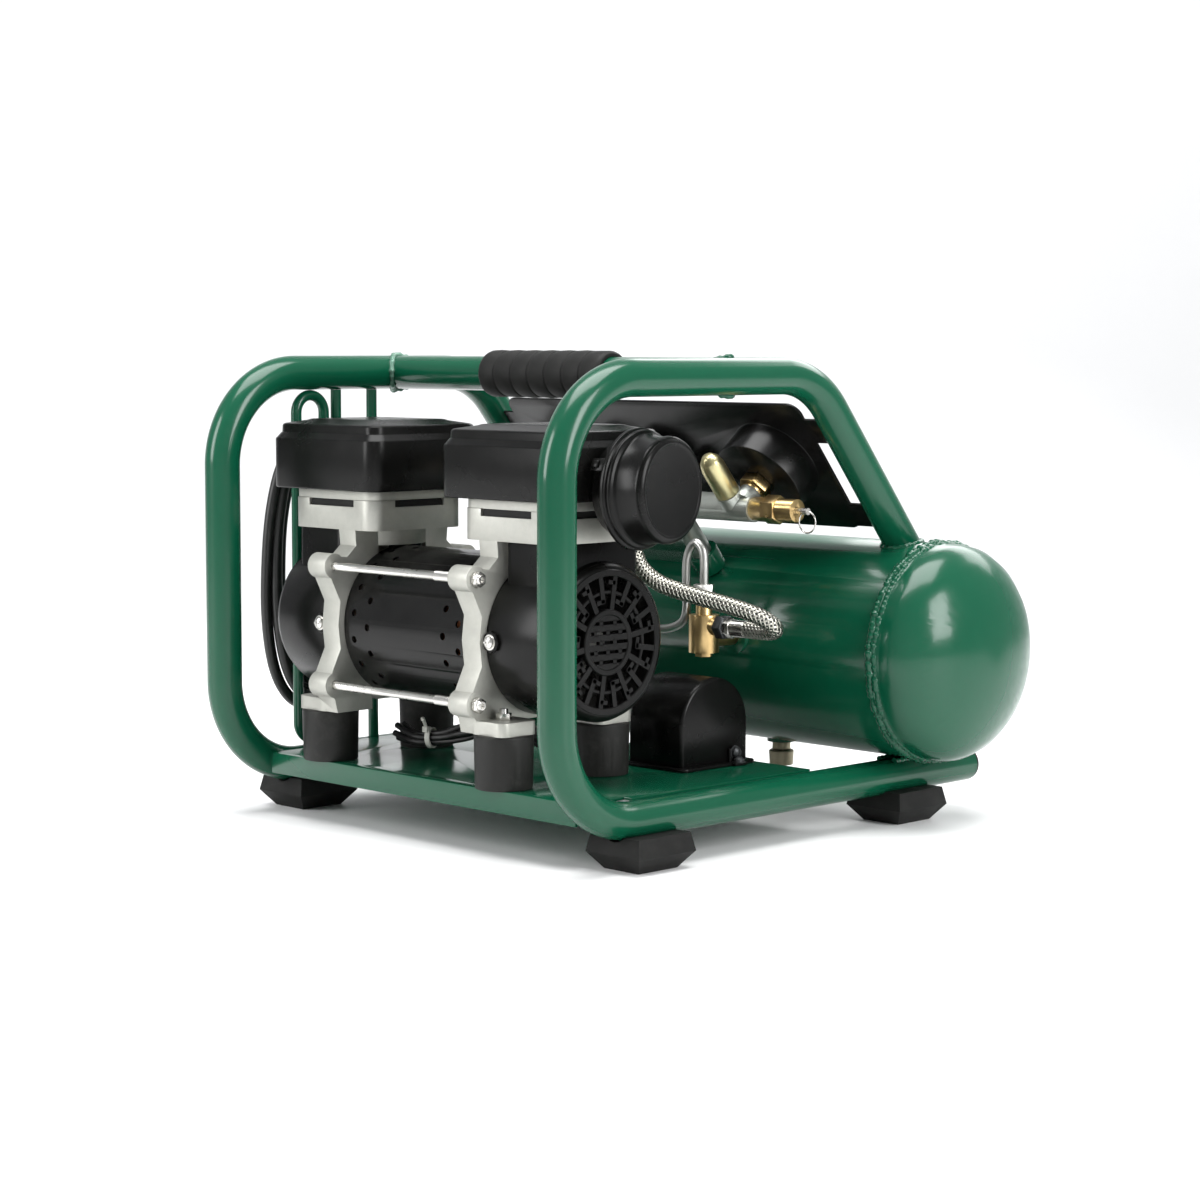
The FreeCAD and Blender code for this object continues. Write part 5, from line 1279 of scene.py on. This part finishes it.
# ---------------------------------------------------------------- delivery pipework
@dataclass(frozen=True)
class Pipework:
    """The braided delivery hose, the check valve and the unloading tube."""

    hose_radius: float = 6.2
    hose_line: tuple[Point, ...] = (
        (66, -62.9, 222), (66.3, -52, 220.5), (68, -38, 207), (71, -29.5, 188), (79, -20.5, 177), (92, -12, 171),
        (108, -3, 166), (126, 6.5, 161), (142, 15.5, 155), (148.5, 24, 148.5), (145.5, 30, 143.6), (136, 32.3, 142),
        (117, 32.3, 142))
    hose_step: float = 1.2
    core_inset: float = 1.15
    strands: int = 8
    strand_half: float = 0.84
    strand_lead: float = 26.0
    tube_radius: float = 3.2
    tube_line: tuple[Point, ...] = (
        (75, 32.3, 170), (75, 32.3, 188), (73.4, 32.3, 197), (67.2, 32.3, 202), (61, 32.3, 197), (57.5, 32.3, 186),
        (57.5, 32.3, 168), (57, 33, 153), (52, 34, 143), (40, 34, 137.5), (24, 34, 135.6), (6, 34, 135))

    def build(self, nodes: dict[str, bpy.types.Object]) -> None:
        """Makes the pipework between the pump, the tank and the switch.

        Args:
            nodes: the engineering parts, by name.
        """
        self.hose()
        refined("check_valve", nodes, Body.CAGE, BRASS, 0.5)
        refined("pipe_fittings", nodes, Body.CAGE, STEEL, 0.4)
        nuts = Draft().nut(15.0, 9.0, placed((75, 32.3, 158))).nut(16.0, 8.0, placed((90, 32.3, 142), AXIS_X))
        nuts.finish("check_valve_nuts", Body.CAGE, DARK_STEEL, bevel=0.4)
        tube = Draft().sweep(smooth_path(self.tube_line, 10), self.tube_radius, 24)
        tube.finish("unloading_tube", Body.CAGE, TUBE_METAL, ("unload_tube",))

    def hose(self) -> None:
        """Makes the hose: a dark core under two families of flat steel strands, woven over and under."""
        path = resampled(smooth_path(self.hose_line, 12), self.hose_step * MM)
        core = Draft().sweep(path, self.hose_radius - self.core_inset, 24)
        core.finish("hose_core", Body.CAGE, DARK_STEEL, ("braided_hose",))
        frames = carried_frames(path)
        draft, strands, twist = Draft(), self.strands, 2 * math.pi / (self.strand_lead * MM)
        for family in (-1, 1):
            for s in range(strands):
                rings = []
                for i, (point, (tangent, across, side)) in enumerate(zip(path, frames)):
                    run = i * self.hose_step * MM
                    angle = family * twist * run + 2 * math.pi * s / strands
                    out = across * math.cos(angle) + side * math.sin(angle)
                    around = side * math.cos(angle) - across * math.sin(angle)
                    wave = math.cos(strands * twist * run + (math.pi if family > 0 else 0))
                    middle = point + out * ((self.hose_radius - 0.40 + 0.30 * wave) * MM)
                    width = (around - tangent * family * 0.55).normalized() * self.strand_half * MM
                    rings.append([middle - width - out * 0.16 * MM, middle - width * 0.5 + out * 0.2 * MM,
                                  middle + width * 0.5 + out * 0.2 * MM, middle + width - out * 0.16 * MM])
                draft.grid(rings, True, caps=True)
        draft.finish("hose_braid", Body.CAGE, BRAID, angle=70)


# ---------------------------------------------------------------- control panel
PANEL_OUT = Vector((0, 0.7683, 0.6401))
PANEL_DOWN = Vector((0, 0.6401, -0.7683))


def on_panel(across: float, down: float, out: float) -> Vector:
    """A point in millimetres, given across, down and out of the sloping panel."""
    return Vector((across, 81.9, 257.5)) + PANEL_DOWN * down + PANEL_OUT * out


def panel_place(across: float, down: float, out: float) -> Matrix:
    """A place on the panel: X across, Y up the slope, Z outwards."""
    turn = Matrix((AXIS_X, -PANEL_DOWN, PANEL_OUT)).transposed().to_4x4()
    return Matrix.Translation(on_panel(across, down, out) * MM) @ turn


@dataclass(frozen=True)
class ControlPanel:
    """The sloping panel, with its gauges, knob, switch, coupler cup and manifold."""

    knob_x: float = 22.0
    knob_radius: float = 17.0
    knob_ribs: int = 28
    gauges: tuple[float, float] = (-22.0, -70.0)
    dial_radius: float = 17.7
    dial_start: float = 225.0
    dial_sweep: float = 270.0
    dial_marks: int = 40
    bezel: Outline = (
        (0, 18.2), (0, 21.6), (1.2, 22.0), (4.6, 21.6), (6.2, 20.4), (6.6, 19.2), (6.2, 18.4), (3.0, 18.2))
    screws: tuple[float, float] = (143.0, 44.0)
    cup: tuple[float, float] = (102.5, -5.0)

    def build(self, nodes: dict[str, bpy.types.Object]) -> None:
        """Makes the panel and everything on it.

        Args:
            nodes: the engineering parts, by name.
        """
        refined("control_panel", nodes, Body.CAGE, BLACK_PAINT, 0.6, segments=3)
        refined("manifold", nodes, Body.CAGE, ZINC_CAST, 1.0, segments=3)
        refined("coupler_body", nodes, Body.CAGE, BRASS, 0.3)
        refined("coupler_sleeve", nodes, Body.SLEEVE, BRASS, 0.4)
        refined("safety_valve_body", nodes, Body.CAGE, BRASS, 0.35)
        refined("safety_valve_stem", nodes, Body.RELIEF, STEEL, 0.0)
        refined("regulator_bonnet", nodes, Body.CAGE, OLIVE_BRASS, 0.5)
        refined("regulator_knob", nodes, Body.KNOB, BLACK_MATT, 0.8, segments=3)
        refined("switch_housing", nodes, Body.CAGE, BLACK_MATT, 0.6)
        refined("power_rocker", nodes, Body.ROCKER, RED, 0.5)
        refined("pressure_gauges", nodes, Body.CAGE, BLACK_MATT, 0.3)
        refined("tank_needle", nodes, Body.TANK_POINTER, RED, 0.0)
        refined("outlet_needle", nodes, Body.OUTLET_POINTER, RED, 0.0)
        self.dials()
        self.ribs()
        self.panel_screws()
        self.sleeve_rings()

    def dials(self) -> None:
        """Makes the white dials with a ring of marks, under the needles, and the bezels."""
        faces, bezels = Draft(), Draft()
        points: list[Vector] = []
        for x in self.gauges:
            place = panel_place(x, 0, 1.05)
            faces.lathe([(0, self.dial_radius), (0.35, self.dial_radius), (0.35, 1.2)], place, 64)
            for k in range(self.dial_marks + 1):
                angle = math.radians(self.dial_start - self.dial_sweep * k / self.dial_marks)
                reach = 14.6 if k % 5 else 13.6
                points.append(place @ (Vector((math.cos(angle) * reach, math.sin(angle) * reach, 0.4)) * MM))
            bezels.lathe(self.bezel, panel_place(x, 0, 0.2), 72, closed=True)
        faces.finish("dial_faces", Body.CAGE, DIAL)
        mark = Draft().lathe([(-0.1, 0.55), (0.12, 0.55)], Matrix.Identity(4), 8)
        scatter("dial_marks", pattern_of(mark, "dial_mark"), points, [PANEL_OUT] * len(points), Body.CAGE, BLACK_MATT)
        bezels.finish("gauge_bezels", Body.CAGE, CHROME, angle=30)

    def ribs(self) -> None:
        """Makes the finger ribs round the pressure knob."""
        rib = Draft().box((1.4, 2.2, 17.0), Matrix.Identity(4))
        points = circle(self.knob_radius, 0.0, self.knob_ribs, panel_place(self.knob_x, 0, 17))
        scatter("knob_ribs", pattern_of(rib, "knob_rib"), points, [PANEL_OUT] * len(points), Body.KNOB, BLACK_MATT)

    def panel_screws(self) -> None:
        """Makes the screws that hold the panel to the tabs on the side frames."""
        across, down = self.screws
        points = [on_panel(x, y, 2.1) * MM for x in (-across, across) for y in (-down, down)]
        scatter("panel_screws", pattern_of(cross_screw(7.5), "panel_screw"), points, [PANEL_OUT] * 4, Body.CAGE,
                DARK_STEEL)

    def sleeve_rings(self) -> None:
        """Makes the grip rings on the coupler sleeve."""
        grips = Draft()
        for k in range(4):
            grips.lathe([(0, 12.8), (0.5, 13.35), (1.1, 13.35), (1.6, 12.8)], panel_place(*self.cup, 3.0 + 3.2 * k), 48)
        grips.finish("sleeve_grip_rings", Body.SLEEVE, BRASS, angle=60)


# ---------------------------------------------------------------- capacitor, wiring
@dataclass(frozen=True)
class Electrics:
    """The capacitor under its cover, and the wiring under the motor with its tie."""

    box_x: tuple[float, float] = (62.0, 115.0)
    box_y: float = 1.8
    box_wide: float = 69.0
    box_low: float = 45.9
    box_tall: float = 64.0
    box_round: Outline = ((0.0, 3.0), (0.5, 1.4), (1.4, 0.5), (3.0, 0.0))
    wires: int = 6
    wire_radius: float = 2.3
    wire_line: tuple[Point, ...] = (
        (-88, -118, 62), (-66, -120, 60), (-46, -112, 62), (-24, -108, 70), (0, -106, 76), (22, -96, 70),
        (36, -80, 62), (44, -58, 60), (48, -40, 62))
    tie_line: tuple[Point, ...] = ((-56, -121, 69), (-55, -124, 74), (-52, -128, 77), (-48, -131, 76))

    def build(self, nodes: dict[str, bpy.types.Object]) -> None:
        """Makes the capacitor cover, its clamp and screws, the wires and the tie.

        Args:
            nodes: the engineering parts, by name.
        """
        self.capacitor_cover()
        clamp = Draft().box((9.0, 13.0, 2.2), placed((119.8, 20.0, 47.2)))
        clamp.box((2.4, 11.0, 12.0), placed((116.4, 20.0, 52.0)))
        clamp.finish("cover_clamp", Body.CAGE, BLACK_MATT, bevel=0.5)
        scatter("cover_screws", pattern_of(cross_screw(8.0, 4.0), "cover_screw"),
                [vec((121.2, 20.0, 48.4)), vec((117.8, 20.0, 55.0))], [AXIS_Z, AXIS_X], Body.CAGE, DARK_STEEL)
        self.wiring()
        refined("zip_tie", nodes, Body.CAGE, NYLON, 0.3)
        tail = Draft().box((5.2, 4.4, 4.2), placed((-56, -120.5, 67.5)))
        tail.sweep(smooth_path(self.tie_line, 6), 1.4, 8, flat=0.4)
        tail.finish("tie_tail", Body.CAGE, NYLON, bevel=0.3)

    def capacitor_cover(self) -> None:
        """Makes the moulded arch with soft edges, on a flange."""
        start, end = self.box_x
        ends = [(start + dx, inset) for dx, inset in self.box_round]
        ends += [(end - dx, inset) for dx, inset in reversed(self.box_round)]
        rings = []
        for x, inset in ends:
            radius = self.box_wide / 2 - inset
            ring = [(x, self.box_y - radius, self.box_low)]
            for a in [math.pi - math.pi * k / 40 for k in range(41)]:
                ring.append((x, self.box_y + radius * math.cos(a),
                             self.box_low + self.box_tall - self.box_wide / 2 + radius * math.sin(a)))
            ring.append((x, self.box_y + radius, self.box_low))
            rings.append([vec(p) for p in ring])
        flange = rounded_rect(end - start + 11, self.box_wide + 9, 7.0)
        body = Draft().grid(rings, True, caps=True)
        body.prism(flange, 2.4, placed(((start + end) / 2 + 0.5, self.box_y, self.box_low + 0.05)))
        body.finish("capacitor_cover", Body.CAGE, BLACK_GLOSS, ("capacitor_box",), 0.5, 30)

    def wiring(self) -> None:
        """Makes the wires, which spread between their ends and close up under the tie."""
        wires = Draft()
        for k in range(self.wires):
            points = []
            for i, (x, y, z) in enumerate(self.wire_line):
                swell = 3.9 + (2.6 if i not in (1, 2) else -0.5) * (0.5 + 0.5 * math.sin(1.7 * i + k))
                spin = 2 * math.pi * k / self.wires + 0.5 * i
                points.append((x, y + swell * math.cos(spin), z + swell * math.sin(spin)))
            wires.sweep(smooth_path(points, 8), self.wire_radius, 12)
        wires.finish("wire_bundle", Body.CAGE, WIRE, ("wiring_harness",))


def paint_parts(frame: dict) -> None:
    """Gives every engineering part the material of its slot.

    Args:
        frame: the loaded frame.
    """
    by_slot = {finish.slot: finish for finish in
               (GREEN, BLACK_MATT, BLACK_GLOSS, BLACK_PAINT, CAST, STEEL, BRASS, RUBBER, MOUNT_RUBBER, CORD_SKIN, BRAID,
                TUBE_METAL, PAPER, COPPER, RED, CHROME, WIRE, NYLON)}
    for entry in frame["record"]["subparts"]:
        node = frame["nodes"][entry["node"]]
        node.data.materials.clear()
        node.data.materials.append(material(by_slot[entry["material_slot"]]))


def main() -> None:
    """Builds the machine."""
    logging.basicConfig(level=logging.INFO, format="%(name)s: %(message)s")
    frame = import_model()
    nodes = frame["nodes"]
    Studio().build()
    PowerCord().build(nodes)
    RollCage().build(nodes)
    Tank().build(nodes)
    MotorPump().build(nodes)
    IntakeFilter().build()
    Pipework().build(nodes)
    ControlPanel().build(nodes)
    Electrics().build(nodes)
    paint_parts(frame)


if __name__ == "__main__":
    main()
